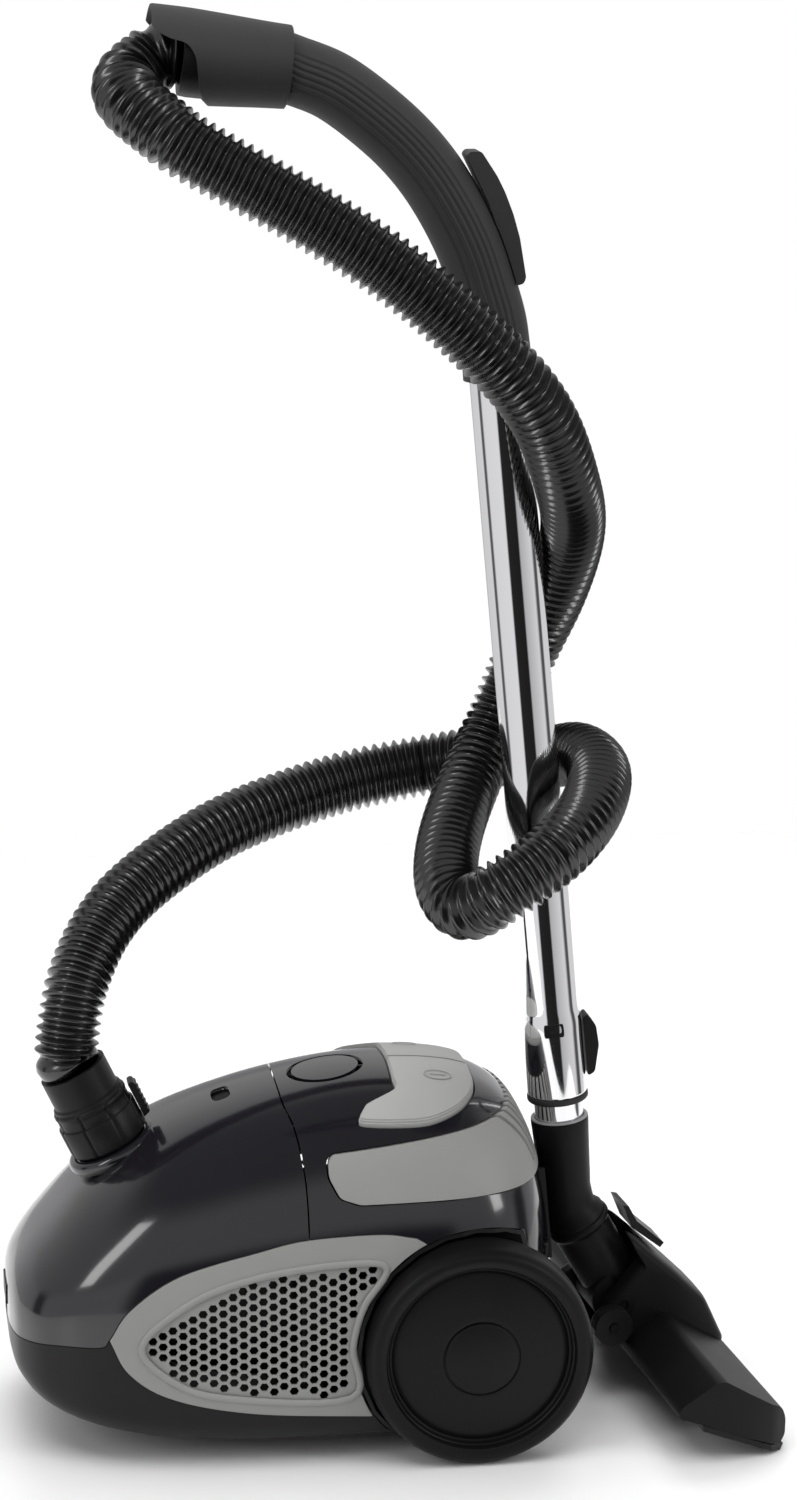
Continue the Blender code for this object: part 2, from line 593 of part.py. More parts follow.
def build_hose():
    dense, cuts = route_curve()
    edges = [0] + cuts + [len(dense) - 1]
    for name, first, last in zip(("hose_lower", "hose_middle", "hose_upper"), edges, edges[1:]):
        stretch = dense[first:last + 1]
        for end, inward in ((0, 1), (-1, -2)):
            if (first, last)[end] not in (0, len(dense) - 1):
                ahead = (dense[(first, last)[end] + 1] - dense[(first, last)[end] - 1]).normalized()
                step = ahead * (0.2 if end == 0 else -0.2)
                stretch[end] = stretch[end] + step
                stretch[inward] = stretch[end] + step * 20
        points = thinned(stretch)
        curve = bpy.data.curves.new(name, "CURVE")
        curve.dimensions = "3D"
        curve.bevel_depth = HOSE_R * MM
        curve.bevel_resolution = 2
        curve.use_fill_caps = True
        run = curve.splines.new("POLY")
        run.points.add(len(points) - 1)
        for point, place in zip(run.points, points):
            point.co = (*((place + SHIFT) * MM), 1.0)
        curve.materials.append(MATERIALS["hose_black"])
        PARTS.objects.link(bpy.data.objects.new(name, curve))


def swivel_turn(point):
    """Where a point of the neck's foot or the floor head lands once the head is turned on the wand."""
    centre = wand(134)
    return centre + Matrix.Rotation(HEAD_SWIVEL, 3, "Z") @ (Vector(point) - centre)


def swivel_head(names):
    centre = (wand(134) + SHIFT) * MM
    turn = Matrix.Translation(centre) @ Matrix.Rotation(HEAD_SWIVEL, 4,
                                                        "Z") @ Matrix.Translation(-centre)
    for name in names:
        bpy.data.objects[name].data.transform(turn)


def build_wand():
    base = wand(0)
    per = 1 / math.cos(WAND_LEAN)
    tube("inner_tube", base, WAND_UP, 14.3, 15.5, 152 * per, 560 * per, 24, "chrome")
    lathe("outer_tube", base, WAND_UP,
          ((16.0, 198 * per), (19, 198 * per), (19, 248 * per), (17.5, 256 * per), (17.5, 672 * per),
           (16.0, 672 * per)),
          24, "chrome", True)
    tube("collar_ring", base, WAND_UP, 16.0, 19.4, 193.5 * per, 197.7 * per, 24, "rubber_black")
    prism("lock_button", [(p.x, p.z) for p in (base + WAND_UP * a + Vector((WAND_UP.z, 0,
                                                                            -WAND_UP.x)) * b for a, b in
          ((208, 19.3), (247, 19.3), (248, 22), (240, 27), (228, 28), (210, 24)))], "xz", -6.5, 6.5,
          "dark_plastic")
    drop = (ELBOW_END - NECK_END).normalized()
    path = [wand(z) for z in (181, 150.6, 150.5, 134)]
    path += [swivel_turn(p) for p in (NECK_END - drop * 12, NECK_END)]
    sweep("neck", path, (18.4, 17.0, 17.0, 16.0, 16.8, 19.6), (15.8, 15.8, 13.4, 12.8, 13.4, 15), 16,
          "dark_plastic", swivel_turn(NECK_END) - swivel_turn(NECK_END - drop))
    neck = PARTS.objects["neck"]
    boolean(neck, tilted_box("add_hook_rib", HOOK_AT, LIFT_OFF, (-9, 9), (0, 9), (-4.5, 4.5)), "UNION")
    boolean(neck, tilted_box("add_hook_plate", HOOK_AT, LIFT_OFF, (-9, 9), (-1.2, 1.2), (-11.5, 11.5)),
            "UNION")


def build_head():
    before = {obj.name for obj in bpy.data.objects}
    drop = (ELBOW_END - NECK_END).normalized()
    elbow = lathe("elbow", NECK_END, drop,
                  ((14.6, 0.4), (20.4, 0.4), (20.8, 4), (19.2, 6), (18.6, 44), (14.6, 44)),
                  16, "dark_plastic", True)
    boolean(elbow, cylinder("add_barrel", TILT_AT, (0, 1, 0), 17, -18.5, 18.5, 16), "UNION")
    boolean(elbow, cylinder("cut_passage", NECK_END, drop, 14, 20, 90, 16))
    hump = ((125, 60), (151, 91), (140, 109), (146, 106), (174, 80), (197, 58), (208, 30), (196, 16),
            (150, 27),
            (137, 33), (121, 40))
    nozzle = ((137, 31), (139, 38), (162, 53), (167, 53), (207, 28), (210.5, 20), (210, 8.5),
              (205.5, 4.5), (152, 26))
    shell = prism("head_shell", nozzle, "xz", -HEAD_HALF, HEAD_HALF, "head_black")
    tip = prism("keep_tips", ((100, 140), (142, HEAD_HALF - 2), (175, HEAD_HALF + 1),
                              (198, HEAD_HALF - 3), (214, 132),
                              (214, -132), (198, 3 - HEAD_HALF), (175, -1 - HEAD_HALF),
                              (142, 2 - HEAD_HALF),
                              (100, -140)), "xy", -5, 120)
    boolean(shell, tip, "INTERSECT")
    boolean(shell, prism("add_hump", hump, "xz", -31, 31), "UNION")
    boolean(shell, prism("cut_channel", ((158, 15), (163, 33), (186, 24), (192, 9)), "xz",
                         6 - HEAD_HALF, HEAD_HALF - 6))
    boolean(shell, prism("cut_brush_pocket", ((185.6, 5), (184.2, 15.5), (191.9, 14), (195, 4.4)), "xz",
                         -101, 101))
    boolean(shell, cylinder("cut_barrel", TILT_AT, (0, 1, 0), 18.2, -20, 20, 20))
    boolean(shell, prism("cut_swing", ((138, 61), (157, 66), (154, 110), (143, 122), (90, 122),
                                       (90, 30), (132, 44)),
                         "xz", -20.5, 20.5))
    boolean(shell, prism("cut_duct", ((140, 62), (152, 48), (176, 28), (168, 12), (140, 36)), "xz",
                         -14, 14))
    boolean(shell, cylinder("cut_tilt_pins", TILT_AT, (0, 1, 0), 3.3, -40, 40, 14))
    sole = prism("sole_plate", ((153, 21), (152.4, 25.2), (204.5, 4.1), (208.5, 3.5), (206, 0.0)),
                 "xz", 2 - HEAD_HALF,
                 HEAD_HALF - 2, "dark_plastic")
    boolean(sole, tip, "INTERSECT")
    boolean(sole, box("cut_mouth", (168, 183), (-118, 118), (0, 40)))
    brush = prism("brush_strip", ((189, 3), (187, 9.6), (192, 7.6), (194, 1.0)), "xz", -100, 100,
                  "brush_fibre")
    boolean(sole, prism("cut_brush", ((187.4, 0), (185, 12), (193.4, 10.4), (196, -3)), "xz", -100.4,
                        100.4))
    prism("brush_pedal", ((142.5, 121.5), (146.5, 120.5), (152, 110), (170.5, 93.5), (168, 90.5),
                          (149, 105.5)), "xz",
          -13, 13, "dark_plastic")
    for side, tag in ((-1, "near"), (1, "far")):
        lathe(f"head_wheel_{tag}", (128, 0, 51), (0, side, 0),
              ((3.4, 33), (12.5, 33), (13, 34.5), (13, 41.5), (12.5, 43), (3.4, 43)), 16,
              "dark_plastic", True)
        boolean(shell, cylinder(f"add_wheel_pin{side}", (128, 0, 51), (0, side, 0), 3.0, 26, 44.5, 12),
                "UNION")
        cylinder(f"add_tilt_pin{side}", TILT_AT, (0, side, 0), 3.0, 10, 30, 14)
        boolean(elbow, CUTTERS.objects[f"add_tilt_pin{side}"], "UNION")
    swivel_head([obj.name for obj in bpy.data.objects if obj.name not in before])


def build_handle():
    outer = [21.2, 21.2, 20.8] + [20.4] * (len(GRIP) - 3)
    inner = [18.2, 18.2, 15.5] + [15] * (len(GRIP) - 3)
    axis = (SOCKET_LEFT - SOCKET_RIGHT).normalized()
    path = [(x, 0, z) for x, z in GRIP]
    grip = sweep("grip_tube", path, outer, inner, 16, "grip_black", axis)
    boolean(grip, prism("cut_air_slot", ((44, 752), (50, 763), (60, 757), (62, 732), (50, 735)), "xz",
                        -5, 5))
    slider = prism("air_slider", ((39.4, 789), (42, 791.5), (48.5, 791.5), (63, 767), (72, 740), (76, 716), (74.5, 712.5),
                                  (67.5, 710.5), (61.5, 737), (52.5, 762)), "xz", -10, 10, "dark_plastic")
    boolean(slider, sweep("cut_slider", path, [r + 0.9 for r in outer], [r - 8 for r in inner], 16))
    socket = lathe("grip_socket", SOCKET_RIGHT, axis,
                   ((15, 0.8), (24.5, 0.8), (25.5, 20), (28.3, 61), (28.6, 85), (25.8, 85), (25.2, 61),
                    (24.6, 36), (15, 34)),
                   24, "grip_black", True)
    visor = [(-100, 800), (-122, 800), (-125, 850), (-130, 858), (-142, 863), (-149, 870), (-151, 880),
             (-100, 885)]
    boolean(socket, prism("keep_visor", visor + [(-50, 885), (-50, 800)], "xz", -40, 40), "INTERSECT")
    tube("hose_swivel", SOCKET_RIGHT, axis, 17, 23.6, 36.5, 64.6, 20, "dark_plastic")


clear_scene()
PARTS = new_collection("canister_vacuum")
CUTTERS = new_collection("cutters")
CUTTERS.hide_render = True
for slot in (
    ("gloss_black", (0.035, 0.035, 0.04), 0.12), ("dark_plastic", (0.03, 0.03, 0.032), 0.45),
    ("grey_plastic", (0.42, 0.42, 0.41), 0.4), ("head_black", (0.025, 0.025, 0.026), 0.55),
    ("grip_black", (0.05, 0.05, 0.052), 0.6), ("hose_black", (0.02, 0.02, 0.022), 0.2),
    ("tyre_black", (0.03, 0.03, 0.03), 0.6), ("rubber_black", (0.02, 0.02, 0.02), 0.7),
    ("chrome", (0.8, 0.8, 0.82), 0.06, 1.0), ("steel", (0.55, 0.55, 0.56), 0.3, 1.0),
    ("aluminium", (0.6, 0.61, 0.62), 0.35, 1.0), ("copper_steel", (0.4, 0.25, 0.18), 0.5, 0.8),
    ("filter_white", (0.8, 0.8, 0.78), 0.9), ("paper", (0.72, 0.64, 0.5), 0.9),
    ("brush_fibre", (0.05, 0.05, 0.05), 0.9), ("signal_red", (0.6, 0.04, 0.03), 0.4),
):
    material(*slot)

FORM = body_form("outer_form", 0.0, 20, 26)
build_shells(shared_cutters())
build_shell_inserts()
build_small_trim()
build_parking_bracket()
build_inside(body_form("inner_form", -WALL - 3.0, 20, 26))
build_wheels()
build_caster()
build_inlet_cuff()
build_hose()
build_wand()
build_head()
build_handle()
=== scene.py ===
"""Canister vacuum cleaner: the visible surfaces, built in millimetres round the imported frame."""

import json
import math

import bmesh
import bpy
from mathutils import Matrix, Vector

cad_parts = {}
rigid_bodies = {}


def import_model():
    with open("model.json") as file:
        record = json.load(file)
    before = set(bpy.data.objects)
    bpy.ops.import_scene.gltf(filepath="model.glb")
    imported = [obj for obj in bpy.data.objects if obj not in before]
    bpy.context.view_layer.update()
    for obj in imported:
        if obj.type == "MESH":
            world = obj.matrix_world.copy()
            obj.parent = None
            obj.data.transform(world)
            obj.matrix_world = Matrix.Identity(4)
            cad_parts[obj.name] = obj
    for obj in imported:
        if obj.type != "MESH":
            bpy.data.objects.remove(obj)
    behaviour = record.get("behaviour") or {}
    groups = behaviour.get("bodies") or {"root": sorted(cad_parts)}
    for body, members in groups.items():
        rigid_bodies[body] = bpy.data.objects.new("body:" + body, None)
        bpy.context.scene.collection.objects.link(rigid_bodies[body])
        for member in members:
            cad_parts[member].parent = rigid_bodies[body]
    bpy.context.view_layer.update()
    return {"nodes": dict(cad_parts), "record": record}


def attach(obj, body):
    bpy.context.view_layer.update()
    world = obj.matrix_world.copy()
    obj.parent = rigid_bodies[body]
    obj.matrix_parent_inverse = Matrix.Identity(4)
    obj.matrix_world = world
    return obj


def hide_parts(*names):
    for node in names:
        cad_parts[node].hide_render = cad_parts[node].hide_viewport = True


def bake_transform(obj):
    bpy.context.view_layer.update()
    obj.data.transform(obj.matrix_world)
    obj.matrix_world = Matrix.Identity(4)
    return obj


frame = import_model()

MM = 0.001
SHIFT = Vector((13.0, -6.9, 0.0))  # the same shift of the footprint as in the CAD
GAP = 0.35
WALL = 2.4
MATERIALS = {}

# ---------------------------------------------------------------- camera and studio

TARGET = Vector((0.013, -0.0069, 0.4246))
AZIMUTH, ELEVATION, DISTANCE = math.radians(-8.5), math.radians(14.0), 2.4


def aim(obj, place, target):
    obj.location = place
    obj.rotation_mode = "QUATERNION"
    obj.rotation_quaternion = (target - place).to_track_quat("-Z", "Y")


def make_camera():
    data = bpy.data.cameras.new("camera")
    data.lens = 93.3
    data.sensor_width = 36.0
    data.clip_start, data.clip_end = 0.05, 50.0
    camera = bpy.data.objects.new("camera", data)
    bpy.context.scene.collection.objects.link(camera)
    back = Vector((math.sin(AZIMUTH) * math.cos(ELEVATION), -math.cos(AZIMUTH) * math.cos(ELEVATION),
                   math.sin(ELEVATION)))
    aim(camera, TARGET + back * DISTANCE, TARGET)
    bpy.context.scene.camera = camera


make_camera()

# ---------------------------------------------------------------- shape helpers


def spline(values, t):
    """Catmull-Rom through a list of tuples at parameter t, counted in points."""
    last = len(values) - 1
    i = min(int(t), last - 1)
    u = t - i
    p1, p2 = values[i], values[i + 1]
    p0 = values[i - 1] if i else tuple(2 * a - b for a, b in zip(p1, p2))
    p3 = values[i + 2] if i + 2 <= last else tuple(2 * b - a for a, b in zip(p1, p2))
    return tuple(
        0.5 * (2 * b + (c - a) * u + (2 * a - 5 * b + 4 * c - d) * u * u + (3 * b - a - 3 * c + d) * u ** 3)
        for a, b, c, d in zip(p0, p1, p2, p3)
    )


def curved(values, per=8, closed=False):
    """A smooth line through the points, with per samples for each stretch."""
    values = [tuple(v) for v in values]
    if closed:
        lapped = values[-2:] + values + values[:2]
        return [spline(lapped, 2 + i + k / per) for i in range(len(values)) for k in range(per)]
    return [spline(values, i / per) for i in range((len(values) - 1) * per + 1)]


def rounded(outline, radius, steps=4):
    """The closed outline with its corners rounded off."""
    result = []
    for i, here in enumerate(outline):
        here = Vector(here)
        before, after = Vector(outline[i - 1]), Vector(outline[(i + 1) % len(outline)])
        d1, d2 = (here - before), (after - here)
        r = min(radius, d1.length * 0.45, d2.length * 0.45)
        a, b = here - d1.normalized() * r, here + d2.normalized() * r
        for k in range(steps + 1):
            u = k / steps
            result.append(tuple(a.lerp(here, u).lerp(here.lerp(b, u), u)))
    return result


def frame_of(axis):
    """The axis as a unit vector, and two more square to it."""
    axis = Vector(axis).normalized()
    side = Vector((0, 1, 0)) if abs(axis.y) < 0.9 else Vector((0, 0, 1))
    first = side.cross(axis).normalized()
    return axis, first, axis.cross(first)


def rings_to_mesh(rings, capped=True):
    """Points and faces of a skin over the rings, with its two ends closed if capped."""
    count = len(rings[0])
    faces = []
    for j in range(len(rings) - 1):
        for k in range(count):
            a, b = j * count + k, j * count + (k + 1) % count
            faces.append((a, b, b + count, a + count))
    if capped:
        faces.append(tuple(range(count))[::-1])
        last = (len(rings) - 1) * count
        faces.append(tuple(range(last, last + count)))
    return [p for ring in rings for p in ring], faces


def looped(rings):
    """Faces of rings that close on themselves, such as a turned loop."""
    verts, faces = rings_to_mesh(rings, False)
    count, last = len(rings[0]), (len(rings) - 1) * len(rings[0])
    faces += [(last + k, last + (k + 1) % count, (k + 1) % count, k) for k in range(count)]
    return verts, faces


SOFT_ANGLE = 38  # degrees: sharper edges are shaded as edges


def shade(mesh, angle=SOFT_ANGLE):
    mesh.shade_smooth()
    mesh.set_sharp_from_angle(angle=math.radians(angle))


def add(name, verts, faces, finish=None, angle=SOFT_ANGLE):
    """A mesh object from millimetre points. Without a finish it is a cutter."""
    mesh = bpy.data.meshes.new(name)
    mesh.from_pydata([(Vector(v) + SHIFT) * MM for v in verts], [], faces)
    shape = bmesh.new()
    shape.from_mesh(mesh)
    bmesh.ops.recalc_face_normals(shape, faces=shape.faces)
    shape.to_mesh(mesh)
    shape.free()
    shade(mesh, angle)
    obj = bpy.data.objects.new(name, mesh)
    bpy.context.scene.collection.objects.link(obj)
    if finish:
        mesh.materials.append(MATERIALS[finish])
    return obj


def lathe(name, origin, axis, profile, steps=64, finish=None, hollow=True, wave=None):
    """Turns (radius, height) points about the axis. A hollow profile is a closed loop clear of the axis."""
    origin = Vector(origin)
    axis, first, second = frame_of(axis)
    rings = [[origin + axis * h + (first * math.cos(t) + second * math.sin(t)) * (r + (wave(r, h, t) if wave else 0))
              for t in (2 * math.pi * k / steps for k in range(steps))] for r, h in profile]
    verts, faces = looped(rings) if hollow else rings_to_mesh(rings)
    return add(name, verts, faces, finish)


def prism(name, outline, plane, low, high, finish=None):
    """The outline in a plane, drawn out from low to high across it."""
    place = {"xz": lambda a, b, c: (a, c, b), "xy": lambda a, b, c: (a, b, c), "yz": lambda a, b, c: (c, a, b)}[plane]
    verts, faces = rings_to_mesh([[place(a, b, c) for a, b in outline] for c in (low, high)])
    return add(name, verts, faces, finish, 25)


def leaning(outline, origin, axis):
    """(along, across) pairs on an axis in the XZ plane, as (x, z)."""
    up = Vector(axis).normalized()
    right = Vector((up.z, 0, -up.x))
    return [((origin + up * a + right * b).x, (origin + up * a + right * b).z) for a, b in outline]


def sweep(name, points, section, steps, finish=None, angle=SOFT_ANGLE, end=None):
    """Rings along points, the last square to end. section(i, share, t) is the radius at ring i and angle t."""
    points = [Vector(p) for p in points]
    rings = []
    for i, point in enumerate(points):
        along = (points[min(i + 1, len(points) - 1)] - points[max(i - 1, 0)]).normalized()
        if end and i == len(points) - 1:
            along = end
        side = Vector((0, 1, 0)).cross(along).normalized()
        over = along.cross(side)
        rings.append([point + (side * math.cos(t) + over * math.sin(t)) * section(i, i / (len(points) - 1), t)
                      for t in (2 * math.pi * k / steps for k in range(steps))])
    return add(name, *rings_to_mesh(rings), finish, angle)


def cut(obj, cutter, operation="DIFFERENCE"):
    """Adds a Boolean step, which settle() applies."""
    step = obj.modifiers.new("cut", "BOOLEAN")
    step.operation, step.solver, step.object = operation, "EXACT", cutter
    return obj


MERGE, DEGENERATE, NORMAL_REACH = 0.00005, 0.00003, 0.00004  # metres


def settle(obj, bevel=0.0, segments=2, angle=SOFT_ANGLE, normals_from=None):
    """Applies the object's modifiers, rounds its edges, and drops what was cut with."""
    cutters = [m.object for m in obj.modifiers if m.type == "BOOLEAN"]
    bake(obj)
    for cutter in set(cutters):
        if "keep" not in cutter:
            bpy.data.objects.remove(cutter, do_unlink=True)
    shape = bmesh.new()
    shape.from_mesh(obj.data)
    bmesh.ops.remove_doubles(shape, verts=shape.verts, dist=MERGE)
    bmesh.ops.dissolve_degenerate(shape, edges=shape.edges, dist=DEGENERATE)
    shape.to_mesh(obj.data)
    shape.free()
    shade(obj.data, angle)
    if bevel:
        step = obj.modifiers.new("bevel", "BEVEL")
        step.width, step.segments = bevel * MM, segments
        step.limit_method, step.angle_limit = "ANGLE", math.radians(angle)
        step.use_clamp_overlap = True
        step.harden_normals = not normals_from
        bake(obj)
        if normals_from:
            shade(obj.data, angle)
    if normals_from:
        step = obj.modifiers.new("normals", "DATA_TRANSFER")
        step.object = normals_from
        step.use_loop_data = True
        step.data_types_loops = {"CUSTOM_NORMAL"}
        step.loop_mapping = "POLYINTERP_NEAREST"
        step.use_max_distance = True
        step.max_distance = NORMAL_REACH
        bake(obj)
    return obj


def bake(obj):
    """Turns the object's modifiers into mesh."""
    graph = bpy.context.evaluated_depsgraph_get()
    graph.update()
    made = bpy.data.meshes.new_from_object(obj.evaluated_get(graph), depsgraph=graph)
    old = obj.data
    obj.modifiers.clear()
    obj.data = made
    if old.users == 0:
        bpy.data.meshes.remove(old)


def keep(obj):
    """A cutter that several pieces share; tidy() drops it."""
    obj["keep"] = True
    return obj


def tidy():
    for obj in [o for o in bpy.data.objects if "keep" in o]:
        bpy.data.objects.remove(obj, do_unlink=True)


def join(name, objs):
    """Several meshes as one object."""
    verts, faces, base = [], [], 0
    for obj in objs:
        verts += [v.co.copy() for v in obj.data.vertices]
        faces += [tuple(i + base for i in f.vertices) for f in obj.data.polygons]
        base = len(verts)
        bpy.data.objects.remove(obj, do_unlink=True)
    mesh = bpy.data.meshes.new(name)
    mesh.from_pydata(verts, [], faces)
    made = bpy.data.objects.new(name, mesh)
    bpy.context.scene.collection.objects.link(made)
    return made


def put(obj, body, slot, *nodes):
    """Hands a finished piece to the frame: its body, and the CAD nodes that it stands for. The slot argument is not
    used.
    """
    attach(obj, body)
    if nodes:
        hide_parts(*nodes)
    return obj


# ---------------------------------------------------------------- materials


def material(name, color, roughness, metallic=0.0, grain=900.0, bump=0.05, tone=0.12, coat=0.0, spread=0.12, sheen=0.0,
             specular=0.5):
    """A plastic, metal or rubber with slow colour drift, a fine surface grain and uneven gloss."""
    made = bpy.data.materials.new(name)
    made.use_nodes = True
    nodes, links = made.node_tree.nodes, made.node_tree.links
    shader = nodes["Principled BSDF"]
    shader.inputs["Metallic"].default_value = metallic
    shader.inputs["Coat Weight"].default_value = coat
    shader.inputs["Coat Roughness"].default_value = 0.06
    shader.inputs["Sheen Weight"].default_value = sheen
    shader.inputs["Specular IOR Level"].default_value = specular
    place = nodes.new("ShaderNodeTexCoord")
    drift = nodes.new("ShaderNodeTexNoise")
    drift.inputs["Scale"].default_value = 14.0
    drift.inputs["Detail"].default_value = 4.0
    links.new(place.outputs["Object"], drift.inputs["Vector"])
    ramp = nodes.new("ShaderNodeValToRGB")
    ramp.color_ramp.elements[0].position, ramp.color_ramp.elements[1].position = 0.35, 0.65
    ramp.color_ramp.elements[0].color = (*[c * (1 - tone) for c in color], 1)
    ramp.color_ramp.elements[1].color = (*[min(c * (1 + tone), 1) for c in color], 1)
    links.new(drift.outputs["Fac"], ramp.inputs["Fac"])
    links.new(ramp.outputs["Color"], shader.inputs["Base Color"])
    gloss = nodes.new("ShaderNodeMapRange")
    gloss.inputs["To Min"].default_value = roughness * (1 - spread)
    gloss.inputs["To Max"].default_value = roughness * (1 + spread)
    links.new(drift.outputs["Fac"], gloss.inputs["Value"])
    links.new(gloss.outputs["Result"], shader.inputs["Roughness"])
    if bump:
        fine = nodes.new("ShaderNodeTexNoise")
        fine.inputs["Scale"].default_value = grain
        fine.inputs["Detail"].default_value = 3.0
        links.new(place.outputs["Object"], fine.inputs["Vector"])
        relief = nodes.new("ShaderNodeBump")
        relief.inputs["Strength"].default_value = bump
        relief.inputs["Distance"].default_value = 0.0004
        links.new(fine.outputs["Fac"], relief.inputs["Height"])
        links.new(relief.outputs["Normal"], shader.inputs["Normal"])
    MATERIALS[name] = made


material("gloss_black", (0.0085, 0.0076, 0.0105), 0.14, 0.0, 1500, 0.004, 0.06, 0.5)
material("window_black", (0.002, 0.002, 0.002), 0.3, 0.0, 900, 0.0, 0.05, specular=0.05)
material("dark_plastic", (0.0065, 0.0065, 0.0065), 0.40, 0.0, 1400, 0.10, 0.12, specular=0.22)
material("tray_plastic", (0.0055, 0.0065, 0.0055), 0.33, 0.0, 1400, 0.06, 0.12, specular=0.22)
material("grey_plastic", (0.275, 0.275, 0.266), 0.42, 0.0, 2200, 0.05, 0.02, specular=0.25)
# painted light: a lighter copy of grey_plastic for the pedals, whose upward faces catch more light
material("pedal_grey_painted_light", (0.36, 0.36, 0.35), 0.42, 0.0, 2200, 0.05, 0.02, specular=0.25)
material("head_black", (0.0055, 0.0055, 0.0055), 0.44, 0.0, 1300, 0.16, 0.10, specular=0.16)
material("grip_black", (0.032, 0.032, 0.032), 0.55, 0.0, 1500, 0.30, 0.08, specular=0.3)
material("hose_black", (0.006, 0.006, 0.006), 0.24, 0.0, 700, 0.02, 0.15, 0.4, specular=0.6)
material("tyre_black", (0.0055, 0.0055, 0.0055), 0.42, 0.0, 1100, 0.12, 0.12, specular=0.16)
material("rubber_black", (0.012, 0.012, 0.012), 0.6, 0.0, 900, 0.1, 0.12)
material("chrome", (0.86, 0.86, 0.87), 0.045, 1.0, 500, 0.0, 0.01, spread=0.3)
material("steel", (0.50, 0.50, 0.51), 0.3, 1.0, 600, 0.03, 0.05)
material("aluminium", (0.6, 0.61, 0.62), 0.35, 1.0, 700, 0.04, 0.05)
material("copper_steel", (0.42, 0.24, 0.15), 0.45, 0.8, 260, 0.3, 0.3)
material("filter_white", (0.78, 0.78, 0.75), 0.9, 0.0, 420, 0.7, 0.06, sheen=0.2)
material("paper", (0.70, 0.60, 0.45), 0.85, 0.0, 300, 0.4, 0.07)
material("brush_fibre", (0.02, 0.02, 0.02), 0.85, 0.0, 500, 0.7, 0.3)
material("signal_red", (0.55, 0.035, 0.03), 0.35, 0.0, 900, 0.03, 0.05)
material("line_grey", (0.30, 0.30, 0.31), 0.3, 0.0, 900, 0.0, 0.03)

CAD_SLOTS = {row["node"]: row["material_slot"] for row in frame["record"]["subparts"]}
for name, node in frame["nodes"].items():
    for place in node.material_slots:
        place.material = MATERIALS[CAD_SLOTS[name]]
    if not node.material_slots:
        node.data.materials.append(MATERIALS[CAD_SLOTS[name]])

# ---------------------------------------------------------------- hose

LOOSE_ROUTE = (
    (-206.5, 0, 231.2), (-208.9, 0.2, 236.4), (-205, 7, 261), (-198, 23, 280), (-181, 54, 302), (-154, 90, 319),
    (-105, 138, 337), (-58, 168, 348), (-9, 184, 358), (42, 184, 367), (85, 157, 379), (111, 100, 391),
    (123, 52, 405), (126, -4, 406), (107, -72, 399), (78, -116, 386), (44, -130, 368), (25, -110, 352),
    (19, -72, 357), (31, -8, 370), (55, 56, 392), (77, 88, 420), (97, 95, 464), (109, 62, 509), (109, 5, 558),
    (93, -60, 602), (69, -104, 652), (34, -120, 693), (-17, -114, 737), (-70, -97, 771), (-129, -76, 803),
    (-148, -63, 816), (-164, -39, 829), (-162, -15, 837), (-151, -4, 844), (-142, -0.6, 849.4), (-131, 0, 849),
)
ROUTE = tuple((x - 0.045 * y, 0.7 * y, z + 0.075 * y) for x, y, z in LOOSE_ROUTE)  # its loops drawn in
ROUTE_SAMPLES, ROUTE_EASING = 24, 30
HOSE_CUTS = (9, 15)  # the points of the route where the hose changes bodies
RIDGE_PITCH, RIDGE_RINGS, RIDGE_FULLNESS = 6.4, 8, 1.15
CREST_R, VALLEY_R = 20.1, 16.2
HOSE_STEPS, END_CLEARANCE, HOSE_DIAMETER = 40, 0.1, 0.0396


def hose_line():
    """The centre line in even steps, RIDGE_RINGS of them to a ridge, and the step of each cut."""
    dense = [Vector(spline(ROUTE, i / ROUTE_SAMPLES)) for i in range((len(ROUTE) - 1) * ROUTE_SAMPLES + 1)]
    for _ in range(ROUTE_EASING):
        dense = dense[:1] + [(a + b * 2 + c) / 4 for a, b, c in zip(dense, dense[1:], dense[2:])] + dense[-1:]
    along = [0.0]
    for a, b in zip(dense, dense[1:]):
        along.append(along[-1] + (b - a).length)
    ridges = round(along[-1] / RIDGE_PITCH)
    count = ridges * RIDGE_RINGS
    line, j = [], 0
    for i in range(count + 1):
        want = along[-1] * i / count
        while j < len(along) - 2 and along[j + 1] < want:
            j += 1
        line.append(dense[j].lerp(dense[j + 1], (want - along[j]) / (along[j + 1] - along[j])))
    return line, [round(along[i * ROUTE_SAMPLES] / along[-1] * ridges) * RIDGE_RINGS for i in HOSE_CUTS]


def hose_frames(line):
    """The direction and a side vector at each point, carried along without twist."""
    tangents = [(line[min(i + 1, len(line) - 1)] - line[max(i - 1, 0)]).normalized() for i in range(len(line))]
    side = tangents[0].orthogonal().normalized()
    sides = []
    for t in tangents:
        side = (side - t * side.dot(t)).normalized()
        sides.append(side)
    return tangents, sides


def make_hose():
    line, marks = hose_line()
    tangents, sides = hose_frames(line)
    edges = [0] + marks + [len(line) - 1]
    heights = [(0.5 - 0.5 * math.cos(2 * math.pi * k / RIDGE_RINGS)) ** RIDGE_FULLNESS for k in range(RIDGE_RINGS)]
    spans = (("hose_lower", "chassis", ("lid", "chassis")), ("hose_middle", "chassis", ("chassis", "wand")),
             ("hose_upper", "wand", ("wand", "handle")))
    for (name, _, pair), first, last in zip(spans, edges, edges[1:]):
        rings = []
        for i in range(first, last + 1):
            r = VALLEY_R + (CREST_R - VALLEY_R) * heights[i % RIDGE_RINGS]
            over = tangents[i].cross(sides[i])
            nudge = tangents[i] * (END_CLEARANCE if i == first else -END_CLEARANCE if i == last else 0.0)
            rings.append([line[i] + nudge + (sides[i] * math.cos(t) + over * math.sin(t)) * r
                          for t in (2 * math.pi * k / HOSE_STEPS for k in range(HOSE_STEPS))])
        piece = add(name + "_corrugated", *rings_to_mesh(rings), "hose_black", 70)
        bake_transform(piece)
        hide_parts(name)


make_hose()

# ---------------------------------------------------------------- body

